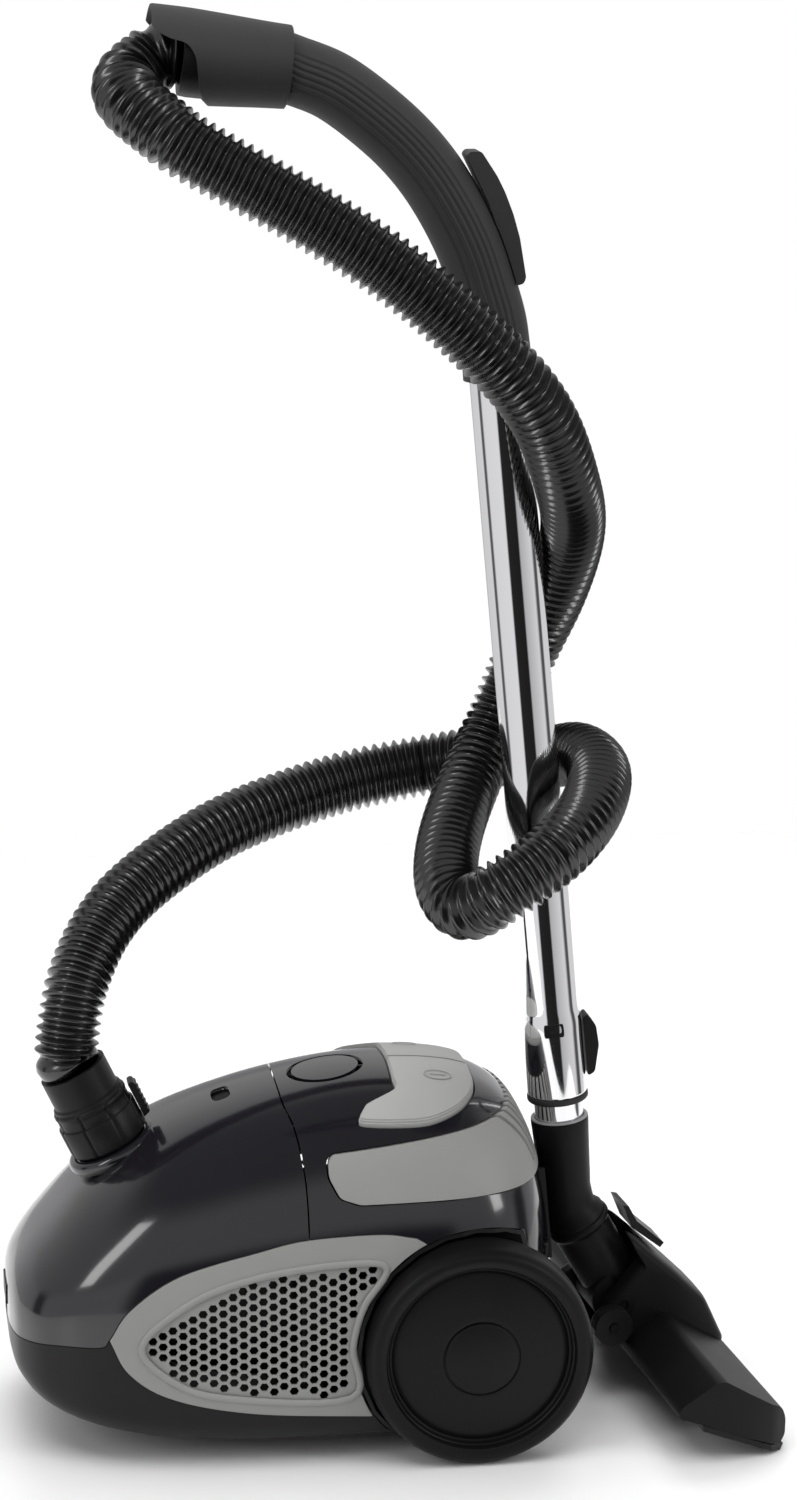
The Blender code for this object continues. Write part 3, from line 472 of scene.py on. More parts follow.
# The body's sections from nose to tail: x, half width, lowest, widest and highest z.
SECTIONS = (
    (-250.0, 12, 70, 81, 92), (-248.5, 36, 56, 81, 101), (-243, 57, 44, 82, 112),
    (-228, 77, 31, 83, 131), (-200, 93, 20, 84, 160), (-160, 103, 12.5, 85, 189),
    (-110, 108, 9, 85, 208), (-60, 110, 8, 85, 219.5), (-15, 110, 8, 85, 224),
    (25, 108, 8, 85, 221), (51, 101, 10, 85, 212.5), (68, 90, 14, 85, 200),
    (79, 75, 22, 84, 181), (86.3, 53, 34, 83, 157), (91.5, 31, 50, 82, 130), (93.5, 12, 70, 82, 101),
)
UPPER_POWER, LOWER_POWER = 2.5, 6.5
SEAM = ((-262, 71), (-244, 74), (-221, 78), (-197, 80), (-192, 85))
PANEL_TOP = ((-179, 105), (-149, 126), (-100, 140), (-70, 146), (-27, 147.5), (-4, 144))
PANEL_BOTTOM = ((-34, 31), (-108, 37), (-156, 48), (-181, 64))
SPLIT = ((-70, 146), (-70.5, 180), (-74, 203), (-79, 214), (-81, 240))
BAND = ((-56, 180), (-56, 188), (-53, 191.5), (-17, 195), (26, 199), (62, 202), (110, 202),
        (110, 165), (57, 165), (-38, 165), (-50, 169))
PEDAL = ((-8, 0.4), (-9, 34), (-10, 45), (-29, 56), (-33, 62), (-33, 67), (-13, 69.5),
         (9, 68), (27, 59), (38, 45), (43, 28), (44, 0.4))
GRILLE = ((-172, 82), (-141, 110), (-101, 124), (-52, 130), (-24, 127), (-38, 104), (-45, 78),
          (-46, 45), (-119, 48), (-153, 59))
WHEEL_X, WHEEL_Z, TYRE_R = 33.4, 70.5, 70.5
WELL_R, WELL_Y = 75.5, 86.0
INLET_AT, INLET_TILT = Vector((-181, 0, 176.5)), math.radians(25)
INLET_OUT = Vector((-math.sin(INLET_TILT), 0, math.cos(INLET_TILT)))
DIAL_AT, DIAL_AXIS = Vector((-47, 0, 220)), Vector((-0.1, 0, 0.995))
DIAL_R, DIAL_HOLE_R = 21.2, 24.4
STATIONS, STEPS = 110, 132
BODY_Y = (-140, 140)  # cutters this wide pass right through the body
SIDE_Y = (60, 140)
SEAM_GAP = 1.1  # the visible groove round the band and the pedals
HOLE_R, HOLE_DX, HOLE_DZ = 2.95, 6.1, 6.9
LOUVRES, LOUVRE_PITCH, LOUVRE_HALF = 13, 8.6, 1.6
PEDAL_EDGE = ((1.0, 0.0), (1.9, 0.5), (2.6, 1.1), (3.1, 1.9), (3.4, 2.9))  # (lift, inset) of each step
MARK_LIFT = 3.5


def section_at(x):
    """Half width and the three heights of the body at x."""
    low, high = 0.0, len(SECTIONS) - 1.0
    for _ in range(40):
        t = (low + high) / 2
        low, high = (t, high) if spline(SECTIONS, t)[0] < x else (low, t)
    return spline(SECTIONS, low)[1:]


def skin_y(x, z):
    """Distance of the body's surface from the middle plane at a point of the side view."""
    half, low, wide, top = section_at(x)
    power, rise = (UPPER_POWER, top - wide) if z >= wide else (LOWER_POWER, wide - low)
    return half * max(1 - min(abs(z - wide) / rise, 1) ** power, 0) ** (1 / power)


def skin_z(x, y):
    """Height of the body's upper surface at a point of the plan."""
    half, _, wide, top = section_at(x)
    return wide + (top - wide) * max(1 - min(abs(y) / half, 1) ** UPPER_POWER, 0) ** (1 / UPPER_POWER)


def body_rings(offset, stations, steps):
    """Rings round the body, grown outwards by the offset."""
    rings = []
    middle = (SECTIONS[0][0] + SECTIONS[-1][0]) / 2
    stretch = 1 + offset / (SECTIONS[-1][0] - middle)
    for j in range(stations + 1):
        x, half, low, wide, top = spline(SECTIONS, (len(SECTIONS) - 1) * j / stations)
        x = middle + (x - middle) * stretch
        half, low, top = half + offset, low - offset, top + offset
        ring = []
        for k in range(steps):
            t = 2 * math.pi * k / steps
            c, s = math.cos(t), math.sin(t)
            power = 2 / (UPPER_POWER if s >= 0 else LOWER_POWER)
            rise = (top - wide) if s >= 0 else (wide - low)
            ring.append((x, half * math.copysign(abs(c) ** power, c), wide + rise * math.copysign(abs(s) ** power, s)))
        rings.append(ring)
    return rings


def shell(name, finish, outer=0.0, inner=-WALL):
    """The whole body as a hollow wall between two offsets of its surface."""
    verts, faces = rings_to_mesh(body_rings(outer, STATIONS, STEPS))
    lining, lining_faces = rings_to_mesh(body_rings(inner, STATIONS // 3, STEPS // 3))
    base = len(verts)
    mesh = bpy.data.meshes.new(name)
    mesh.from_pydata([(Vector(v) + SHIFT) * MM for v in verts + lining], [],
                     [f[::-1] for f in faces] + [tuple(i + base for i in f) for f in lining_faces])
    mesh.materials.append(MATERIALS[finish])
    mesh.shade_smooth()
    obj = bpy.data.objects.new(name, mesh)
    bpy.context.scene.collection.objects.link(obj)
    return obj


def grown(outline, by):
    """The closed outline moved outwards."""
    area = sum(a[0] * b[1] - b[0] * a[1] for a, b in zip(outline, outline[1:] + outline[:1]))
    sign = 1 if area > 0 else -1
    result = []
    for i, here in enumerate(outline):
        before, after = Vector(outline[i - 1]), Vector(outline[(i + 1) % len(outline)])
        d1, d2 = (Vector(here) - before), (after - Vector(here))
        if d1.length < 1e-6 or d2.length < 1e-6:
            continue
        d1, d2 = d1.normalized(), d2.normalized()
        n1, n2 = Vector((d1.y, -d1.x)), Vector((d2.y, -d2.x))
        bisector = (n1 + n2).normalized()
        moved = Vector(here) + bisector * (sign * by / max(bisector.dot(n1), 0.4))
        result.append((moved.x, moved.y))
    return result


def inside(outline, x, z):
    hit = False
    for (x1, z1), (x2, z2) in zip(outline, outline[1:] + outline[:1]):
        if (z1 > z) != (z2 > z) and x < (x2 - x1) * (z - z1) / (z2 - z1) + x1:
            hit = not hit
    return hit


def arch(radius, start, end, count):
    """Points on a circle about the rear wheel, in the side view."""
    return [(WHEEL_X - radius * math.cos(math.radians(a)), WHEEL_Z + radius * math.sin(math.radians(a)))
            for a in (start + (end - start) * i / (count - 1) for i in range(count))]


SEAM_LINE = curved(SEAM, 6)
TOP_LINE = curved(SEAM[-1:] + PANEL_TOP, 8)
BOTTOM_LINE = curved(PANEL_BOTTOM + SEAM[-1:], 8)
SPLIT_LINE = curved(SPLIT, 6)


def panel_outline():
    return TOP_LINE + arch(WELL_R + 0.6, 66, -31, 24) + BOTTOM_LINE[:-1]


def well(side):
    radius = WELL_R + GAP
    return lathe(f"cut_well{side}", (WHEEL_X, side * (WELL_Y - GAP), WHEEL_Z), (0, side, 0),
                 ((radius, 0), (radius, 60)), 96, None, False)


def across(side):
    """The y range of a cutter on one side of the body."""
    return sorted((side * SIDE_Y[0], side * SIDE_Y[1]))


def superellipse(a, b, power_a, power_b, steps):
    """Points round an oval whose sides are flatter than an ellipse's."""
    angles = [2 * math.pi * k / steps for k in range(steps)]
    return [(a * math.copysign(abs(math.cos(t)) ** power_a, math.cos(t)),
             b * math.copysign(abs(math.sin(t)) ** power_b, math.sin(t))) for t in angles]


def surface_ring(name, outline, lift, radius, finish, steps=10):
    """A half-round bead that follows a closed outline over the near or far side of the body."""
    points = [Vector((x, -skin_y(x, z) - lift, z)) for x, z in outline]
    rings = []
    for i, p in enumerate(points):
        along = (points[(i + 1) % len(points)] - points[i - 1]).normalized()
        out = Vector((0, -1, 0))
        side = along.cross(out).normalized()
        rings.append([p + side * (math.cos(t) * radius * 1.5) + out * (math.sin(t) * radius)
                      for t in (2 * math.pi * k / steps for k in range(steps))])
    return add(name, *looped(rings), finish, 80)


def make_body():
    smooth_form = keep(add("form", *rings_to_mesh(body_rings(0.0, STATIONS, STEPS)), None, 180))
    smooth_form.data.shade_smooth()
    # lid
    lid = shell("lid_shell", "gloss_black")
    lid_side = [(-262, 260)] + SEAM_LINE[:-1] + TOP_LINE[:33] + SPLIT_LINE[1:] + [(-81, 260)]
    cut(lid, prism("cut_lid", grown(lid_side, -GAP), "xz", *BODY_Y), "INTERSECT")
    cut(lid, lathe("cut_inlet", INLET_AT, INLET_OUT, ((24.5, -30), (24.5, 40)), 72, None, False))
    slot_at = [(x - 113, y) for x, y in superellipse(6, 11.2, 0.6, 0.7, 40)]
    cut(lid, prism("cut_slot", slot_at, "xy", 185, 225))
    latch_hole = rounded(((-14.6, 62), (14.6, 62), (14.6, 94.2), (-14.6, 94.2)), 4)
    cut(lid, prism("cut_latch", latch_hole, "yz", -256, -241))
    put(settle(lid, 0.45, 2, 38, smooth_form), "lid", "gloss_black", "front_lid")
    collar = lathe("inlet_collar", INLET_AT, INLET_OUT,
                   ((22.4, -12), (25.5, -12), (27, -6), (29.4, -4.5), (30.0, -1.5), (29.8, 0.6), (29.0, 2.2),
                    (27.6, 3.2), (25.8, 3.5), (23.8, 3.0), (22.4, 1.8)), 96, "gloss_black")
    put(collar, "lid", "gloss_black")
    window = shell("bag_window", "window_black", -2.2, -3.4)
    cut(window, prism("cut_window", grown(slot_at, -0.3), "xy", 185, 225), "INTERSECT")
    put(settle(window, 0.2, 1, 38), "lid", "gloss_black", "indicator_window")
    # cover
    cover = shell("cover_shell", "gloss_black")
    split = [(x + 0.4, z) for x, z in SPLIT_LINE]
    cover_side = TOP_LINE[32:] + [(4, 137), (5, 125), (62, 63), (115, 63), (115, 260)] + split[:0:-1]
    cut(cover, prism("cut_cover", grown(cover_side, -GAP), "xz", *BODY_Y), "INTERSECT")
    pedal_line = pedal_outline()
    for side in (-1, 1):
        cut(cover, well(side))
        cut(cover, prism(f"cut_panel{side}", grown(panel_outline(), 0.1), "xz", *across(side)))
        around = [(x, side * y) for x, y in grown(pedal_line, SEAM_GAP)]
        cut(cover, keep(prism(f"cut_pedal{side}", around, "xy", 185, 240)))
    cut(cover, lathe("cut_dial", DIAL_AT, DIAL_AXIS, ((DIAL_HOLE_R, -20), (DIAL_HOLE_R, 20)), 96, None, False))
    cut(cover, prism("cut_band", grown(band_outline(), SEAM_GAP), "xz", *BODY_Y))
    bracket = leaning(((95.5, -45), (157, -45), (157, 0), (95.5, 0)), wand(0), WAND_UP)
    cut(cover, prism("cut_bracket", bracket, "xz", -22.8, 22.8))
    cut(cover, lathe("cut_cord", (0, 38, 84), (1, 0, 0), ((8.4, 75), (8.4, 110)), 40, None, False))
    put(settle(cover, 0.45, 2, 38, smooth_form), "chassis", "gloss_black", "rear_cover")
    # tray
    tray = shell("tray_shell", "tray_plastic")
    base_side = SEAM_LINE[:-1] + TOP_LINE + [(5, 125), (62, 63), (115, 63), (115, -15), (-262, -15)]
    cut(tray, prism("cut_tray", grown(base_side, -GAP), "xz", *BODY_Y), "INTERSECT")
    for side in (-1, 1):
        cut(tray, well(side))
        cut(tray, prism(f"cut_tray_panel{side}", grown(panel_outline(), 0.1), "xz", *across(side)))
    cut(tray, lathe("cut_caster", (-188, 0, 0), (0, 0, 1), ((25.2, 0), (25.2, 60)), 48, None, False))
    put(settle(tray, 0.4, 2, 38, smooth_form), "chassis", "dark_plastic", "base_tray")
    make_panels(smooth_form)
    # band and pedals
    band = shell("exhaust_band", "grey_plastic", 0.9, -WALL)
    cut(band, prism("cut_band_keep", grown(band_outline(), -0.1), "xz", *BODY_Y), "INTERSECT")
    for side in (-1, 1):
        cut(band, bpy.data.objects[f"cut_pedal{side}"])
    for i in range(LOUVRES):
        y = (i - LOUVRES // 2) * LOUVRE_PITCH
        start, low, high = 60 - 0.25 * abs(y), y - LOUVRE_HALF, y + LOUVRE_HALF
        slit = rounded(((start, low), (110, low), (110, high), (start, high)), 1.5)
        cut(band, prism(f"cut_louvre{i}", slit, "xy", 171, 204))
    put(settle(band, 1.1, 3, 38), "chassis", "grey_plastic", "exhaust_cover")
    for side, body, node in ((-1, "power_switch", "power_pedal"), (1, "rewind_switch", "rewind_pedal")):
        caps = []
        for lift, inset in PEDAL_EDGE:
            # the pedal caps take the lighter grey, painted light for their upward faces
            cap = shell(f"{node}_cap{lift}", "pedal_grey_painted_light", lift, -3.0)
            line = [(x, side * y) for x, y in grown(pedal_line, -inset)]
            caps.append(settle(cut(cap, prism(f"keep_{node}{lift}", line, "xy", 185, 240), "INTERSECT")))
        for cap in caps[1:]:
            cut(caps[0], cap, "UNION")
        put(settle(caps[0], 0.35, 2, 30), body, "grey_plastic", node)
    make_marks()
    dial = shell("dial_disc", "gloss_black", 0.2, -4.0)
    cut(dial, lathe("keep_dial", DIAL_AT, DIAL_AXIS, ((DIAL_R, -20), (DIAL_R, 20)), 96, None, False), "INTERSECT")
    put(settle(dial, 0.6, 2, 38), "dial", "gloss_black", "suction_dial")


def pedal_outline():
    body = curved(PEDAL[1:4], 4)[:-1] + curved(PEDAL[3:5], 2)[:-1] + curved(PEDAL[4:], 6)
    return [PEDAL[0]] + body


def band_outline():
    return rounded(list(BAND), 2.2, 3)


def make_panels(smooth_form):
    outline = panel_outline()
    grille = curved(GRILLE, 6, True)
    area = grown(grille, -3.6)
    for side, tag in ((-1, "near"), (1, "far")):
        panel = shell(f"panel_{tag}", "grey_plastic", 0.5)
        low, high = across(side)
        cut(panel, prism("keep_panel", grown(outline, -GAP), "xz", low, high), "INTERSECT")
        recess = shell("cut_recess", "grey_plastic", 6.0, -0.9)
        cut(recess, prism("cut_recess_side", grille, "xz", low, high), "INTERSECT")
        cut(panel, settle(recess))
        holes = []
        for i in range(28):
            for j in range(16):
                x, z = -172 + HOLE_DX * i, 40 + HOLE_DZ * (j + (0.5 if i % 2 else 0))
                if inside(area, x, z):
                    corners = [math.radians(60 * k) for k in range(6)]
                    hexagon = [(x + HOLE_R * math.cos(a), z + HOLE_R * math.sin(a)) for a in corners]
                    holes.append(prism(f"hole{i}_{j}", hexagon, "xz", low, high))
        cut(panel, join("cut_holes", holes))
        put(settle(panel, 0.35, 2, 38), "chassis", "grey_plastic", f"side_panel_{tag}")
        bead = surface_ring(f"grille_bezel_{tag}", grown(grille, 0.6), 0.3, 1.5, "grey_plastic")
        if side > 0:
            mirror = Matrix.Scale(-1, 4, (0, 1, 0))
            bead.data.transform(Matrix.Translation(Vector((0, 2 * SHIFT.y * MM, 0))) @ mirror)
            bead.data.flip_normals()
        put(bead, "chassis", "grey_plastic")
        deep, shallow = sorted((side * 58, side * 59))
        backing = prism(f"grille_mesh_{tag}", grown(grille, 3), "xz", deep, shallow, "dark_plastic")
        put(backing, "chassis", "dark_plastic")


def make_marks():
    """Plain generic marks on the pedals: an oval with a bar, and a small oval."""
    for name, body, centre, size, bar in (("mark_power", "power_switch", (20, -30), (8.5, 5.5), True),
                                          ("mark_rewind", "rewind_switch", (8, 30), (7.5, 4.2), False)):
        rings = []
        steps = 48
        for k in range(steps):
            t = 2 * math.pi * k / steps
            out = Vector((math.cos(t), math.sin(t), 0))
            x, y = centre[0] + size[0] * out.x, centre[1] + size[1] * out.y
            p = Vector((x, y, skin_z(x, y) + MARK_LIFT))
            rings.append([p + out * 0.35 * math.cos(a) + Vector((0, 0, 0.22 * math.sin(a)))
                          for a in (2 * math.pi * j / 6 for j in range(6))])
        put(add(name, *looped(rings), "line_grey"), body, "dark_plastic")
        if bar:
            rings = []
            for k in range(9):
                x, y = centre[0] - 5 + 10 * k / 8, centre[1]
                p = Vector((x, y, skin_z(x, y) + MARK_LIFT))
                rings.append([p + Vector((0, 0.35 * math.cos(a), 0.22 * math.sin(a)))
                              for a in (2 * math.pi * j / 6 for j in range(6))])
            put(add(name + "_bar", *rings_to_mesh(rings), "line_grey"), body, "dark_plastic")


# ---------------------------------------------------------------- wand frame

WAND_FOOT_X, WAND_SLOPE = 119.7, 0.0898
WAND_LEAN = math.atan(WAND_SLOPE)
WAND_UP = Vector((-math.sin(WAND_LEAN), 0, math.cos(WAND_LEAN)))
PER = 1 / math.cos(WAND_LEAN)  # length along the wand for each millimetre of height
NECK_END, ELBOW_END = Vector((115.5, 0, 111)), Vector((132.4, 0, 80.5))
NECK_TURN = 134  # height at which the head's part of the neck turns aside
HEAD_SWIVEL = math.radians(6.3)
TILT_AT = Vector((138, 0, 61))
HEAD_HALF = 147.0
COLLAR_R = 19.0
HOOK_AT = Vector((86.3, 0, 127))
LIFT_OFF = Vector((0.1, 0, 0.995)).normalized()


def wand(z):
    """The point of the wand's axis at a height."""
    return Vector((WAND_FOOT_X - WAND_SLOPE * z, 0, z))


def swivel_turn(point):
    centre = wand(NECK_TURN)
    return centre + Matrix.Rotation(HEAD_SWIVEL, 3, "Z") @ (Vector(point) - centre)


def swivel(obj):
    centre = (wand(NECK_TURN) + SHIFT) * MM
    turn = Matrix.Rotation(HEAD_SWIVEL, 4, "Z")
    obj.data.transform(Matrix.Translation(centre) @ turn @ Matrix.Translation(-centre))
    return obj


# ---------------------------------------------------------------- wheels, cuff, wand, handle, head


def make_wheels():
    for side, tag in ((-1, "near"), (1, "far")):
        centre, out = (WHEEL_X, 0, WHEEL_Z), (0, side, 0)
        tyre = curved(((58.4, 97), (62, 93.6), (66.5, 93.6), (69.6, 97), (TYRE_R, 103), (TYRE_R, 114), (69.7, 119.5),
                       (67.2, 123.2), (63.6, 124.4), (60.4, 123.6), (58.4, 120.5)), 4, True)
        put(lathe(f"tyre_{tag}_round", centre, out, tyre, 96, "tyre_black"), f"wheel_{tag}", "tyre_black",
            f"tyre_{tag}")
        face = [(6.3, 91), (12, 91), (14, 112), (52, 106), (58.1, 100)] + curved(
            ((58.1, 120.0), (57.2, 119.2), (56.4, 117.2), (55.2, 116.6), (53.6, 117.6), (50, 119.0), (40, 120.8),
             (30, 121.9), (24.6, 122.2), (23.9, 121.3), (23.4, 121.2)), 4) + [(6.3, 121.2)]
        put(lathe(f"disc_{tag}_turned", centre, out, face, 96, "tyre_black"), f"wheel_{tag}", "dark_plastic",
            f"wheel_disc_{tag}")
        cap = [(0.02, 121.5)] + curved(
            ((22.3, 121.5), (22.7, 122.2), (22.2, 122.9), (18, 123.9), (10, 124.9), (0.02, 125.3)), 4)
        put(lathe(f"cap_{tag}_domed", centre, out, cap, 72, "tyre_black", False), f"wheel_{tag}", "dark_plastic",
            f"hub_cap_{tag}")


def make_cuff():
    def groove(r, h, t):
        """Eight narrow grooves along the cuff's wide part."""
        share = (t * 8 / (2 * math.pi)) % 1
        return -0.9 * math.exp(-((share - 0.5) / 0.035) ** 2) if r > 23 and 5 < h < 36 else 0.0

    profile = [
        (18.2, -13.5), (21.5, -13.5), (21.5, 5.4), (25.3, 5.4), (25.5, 6.2), (25.5, 23.4), (25.1, 24.2), (24.2, 24.4),
        (23.9, 25.2), (23.8, 31), (23.9, 31.2), (24.3, 32.2), (24.2, 33.8), (23.6, 34.6), (22.9, 35.0), (22.9, 36.8),
        (21.4, 38), (21.4, 57.2), (18.2, 57.2)]
    cuff = lathe("inlet_cuff", INLET_AT, INLET_OUT, profile, 144, "dark_plastic", True, groove)
    put(cuff, "cuff", "dark_plastic", "hose_cuff")
    ribs = []
    for i in range(6):
        start = 11 + i * 3.6
        ribs += [(start, 30.6), (start + 1.6, 31.4), (start + 2.6, 30.4)]
    side = [(9.4, 26.2)] + ribs + [(33, 30.0), (34, 28.5), (33.5, 26.2)]
    catch = prism("cuff_push_latch", leaning(side, INLET_AT, INLET_OUT), "xz", -6.4, 6.4, "dark_plastic")
    put(settle(catch, 0.4, 2, 30), "cuff_catch", "dark_plastic", "cuff_latch")


def make_wand():
    base = wand(0)
    inner = [(14.4, 152 * PER), (15.5, 152 * PER), (15.5, 560 * PER), (14.4, 560 * PER)]
    put(lathe("inner_tube_chrome", base, WAND_UP, inner, 96, "chrome"), "wand", "chrome", "inner_tube")
    shoulder = ((19.0, 198.6), (19.0, 203), (19.0, 236), (18.9, 244), (18.3, 249), (17.7, 253), (17.5, 258))
    outer = [(16.0, 198 * PER), (18.7, 198 * PER)] + curved([(r, z * PER) for r, z in shoulder], 4)
    outer += [(17.5, 300 * PER), (17.5, 500 * PER), (17.5, 672 * PER), (16.0, 672 * PER)]
    put(lathe("outer_tube_chrome", base, WAND_UP, outer, 96, "chrome"), "handle", "chrome", "outer_tube")
    ring = curved([(r, z * PER) for r, z in ((18.8, 193.6), (19.4, 194.5), (19.4, 196.8), (18.8, 197.6))], 3)
    ring = [(16.0, 193.6 * PER)] + ring + [(16.0, 197.6 * PER)]
    put(lathe("collar_band", base, WAND_UP, ring, 96, "rubber_black"), "handle", "rubber_black", "collar_ring")
    button = rounded(((208, 19.4), (247, 19.4), (249, 22), (241, 27.2), (228, 28.2), (210, 24.2)), 2.0)
    button = leaning(button, base, WAND_UP)
    put(settle(prism("lock_slider", button, "xz", -6.5, 6.5, "dark_plastic"), 1.2, 3, 30), "tube_lock", "dark_plastic",
        "lock_button")
    # the lock's dark window, waisted like a spool, on the camera's side of the collar
    side = Vector((-0.10, -1, 0)).normalized()
    sideways = WAND_UP.cross(side).normalized()
    waists = [0.66 + 0.34 * math.cos(2 * math.pi * k / 32) ** 2 for k in range(32)]
    rim = [(w, h * waist) for (w, h), waist in zip(superellipse(6.4, 6.2, 0.5, 0.5, 32), waists)]
    rings = []
    for depth in (-1.5, 0.15):
        ring = []
        for w, h in rim:
            phi = w / COLLAR_R
            centre = base + WAND_UP * (243.5 * PER + h)
            radius = COLLAR_R + depth - 0.1 * max(h, 0)
            ring.append(centre + side * radius * math.cos(phi) + sideways * radius * math.sin(phi))
        rings.append(ring)
    put(add("lock_window", *rings_to_mesh(rings), "dark_plastic"), "handle", "dark_plastic")
    # neck
    drop = (ELBOW_END - NECK_END).normalized()
    path = [wand(z) for z in (181, 180.4, 179, 170, 160, 150.6, 142, 134)]
    path += [swivel_turn(p) for p in (NECK_END - drop * 12, NECK_END - drop * 5, NECK_END - drop * 3, NECK_END)]
    radii = (17.7, 18.3, 18.4, 17.9, 17.4, 17.0, 16.6, 16.2, 17.0, 18.2, 19.5, 19.7)
    neck = sweep("neck_socket", path, lambda i, u, t: radii[i], 64, "head_black", 45)
    bore = sweep("cut_neck", [wand(184), wand(150.6)], lambda i, u, t: 15.9, 64)
    cut(neck, bore)
    for name, low, high, half in (("hook_rib", 0, 9, 4.5), ("hook_plate", -1.2, 1.2, 11.5)):
        block = leaning(((-9, low), (9, low), (9, high), (-9, high)), HOOK_AT, LIFT_OFF)
        cut(neck, prism(name, block, "xz", -half, half), "UNION")
    put(settle(neck, 0.4, 2, 40), "wand", "dark_plastic", "neck")
    bead = curved(((15.9, -0.6), (17.6, -0.6), (18.3, 0.0), (17.6, 0.7), (15.9, 0.6)), 3, True)
    put(lathe("neck_lip", wand(181.2), WAND_UP, bead, 64, "line_grey"), "wand", "dark_plastic")


GRIP = ((60.9, 655), (59.2, 674), (57, 690), (52, 708), (42, 737), (26, 767), (8.5, 790.5),
        (-13, 811), (-39, 830), (-64.3, 840.5))
SOCKET_RIGHT, SOCKET_LEFT = Vector((-65, 0, 841.5)), Vector((-127, 0, 848.5))


def make_handle():
    axis = (SOCKET_LEFT - SOCKET_RIGHT).normalized()
    line = [Vector((p[0], 0, p[1])) for p in curved(GRIP, 10)][:-1] + [SOCKET_RIGHT + axis * 0.6]

    def grip_radius(u):
        return 21.2 - 0.8 * min(u / 0.3, 1)

    def section(i, u, t):
        """Round, with six lengthwise grooves in a band on each side."""
        r = grip_radius(u)
        fade = min(max((u - 0.02) / 0.08, 0), 1) * min(max((1.02 - u) / 0.04, 0), 1)
        for middle in (math.pi / 2, 3 * math.pi / 2):
            off = math.degrees(t - middle)
            if abs(off) < 34:
                r -= 0.75 * fade * max(math.cos(math.radians(off * 360 / 11.2)) * -1, 0) ** 0.7
        return r

    grip = sweep("grip_shell", line, section, 240, "grip_black", 60, axis)
    hole = [(44, 752), (50, 763), (60, 757), (62, 732), (50, 735)]
    cut(grip, prism("cut_air", hole, "xz", -5, 5))
    put(settle(grip, 0.0, 2, 60), "handle", "grip_black", "grip_tube")
    outer = rounded(((39.4, 789), (41.5, 791.5), (48.5, 791.5), (58, 777), (63, 767), (68, 754), (72, 740), (76, 716),
                     (74.5, 712.5), (67.3, 710.5), (61.5, 737), (52.5, 762)), 1.6)
    slider = prism("vent_slider", outer, "xz", -10, 10, "grip_black")
    for i in range(8):
        p = Vector((76.6 - 0.6 * i, 0, 717.0 + 3.4 * i))
        cut(slider, lathe(f"cut_rib{i}", p, (0, 1, 0), ((0.9, -9), (0.9, 9)), 12, None, False))
    cut(slider, sweep("cut_slider", line, lambda i, u, t: grip_radius(u) + 0.9, 96))
    put(settle(slider, 1.0, 2, 35), "air_vent", "dark_plastic", "air_slider")
    profile = [(15, 0.8), (23.9, 0.8)] + curved(
        ((24.3, 1.0), (24.6, 2.0), (25.0, 10), (25.6, 20), (27.0, 40), (28.3, 61), (28.6, 78), (28.6, 84.0)), 3) + [
        (28.2, 85), (26.2, 85), (25.8, 84.4), (25.2, 61), (24.6, 36), (15, 34)]
    socket = lathe("hose_socket", SOCKET_RIGHT, axis, profile, 96, "grip_black")
    lip = curved(((-104, 815), (-112, 818), (-119.5, 828), (-121.5, 840), (-123, 850), (-128, 857.5), (-138, 861),
                  (-146, 866), (-149.5, 873), (-149, 880)), 6)
    visor = [(-20, 885), (-20, 790), (-104, 790)] + lip + [(-149, 900), (-20, 900)]
    cut(socket, prism("keep_visor", visor, "xz", -40, 40), "INTERSECT")
    put(settle(socket, 0.5, 2, 38), "handle", "grip_black", "grip_socket")
    sleeve = [(17, 36.5), (23.6, 36.5), (23.6, 60), (23.0, 64.6), (17, 64.6)]
    put(lathe("swivel_sleeve", SOCKET_RIGHT, axis, sleeve, 72, "dark_plastic"), "handle_swivel", "dark_plastic",
        "hose_swivel")
    clip = lathe("grip_clip", wand(668), WAND_UP, ((16.0, -14), (18.6, -14), (19.4, -12), (19.4, -2), (16.0, -2)), 64,
                 "dark_plastic")
    put(clip, "handle", "dark_plastic")


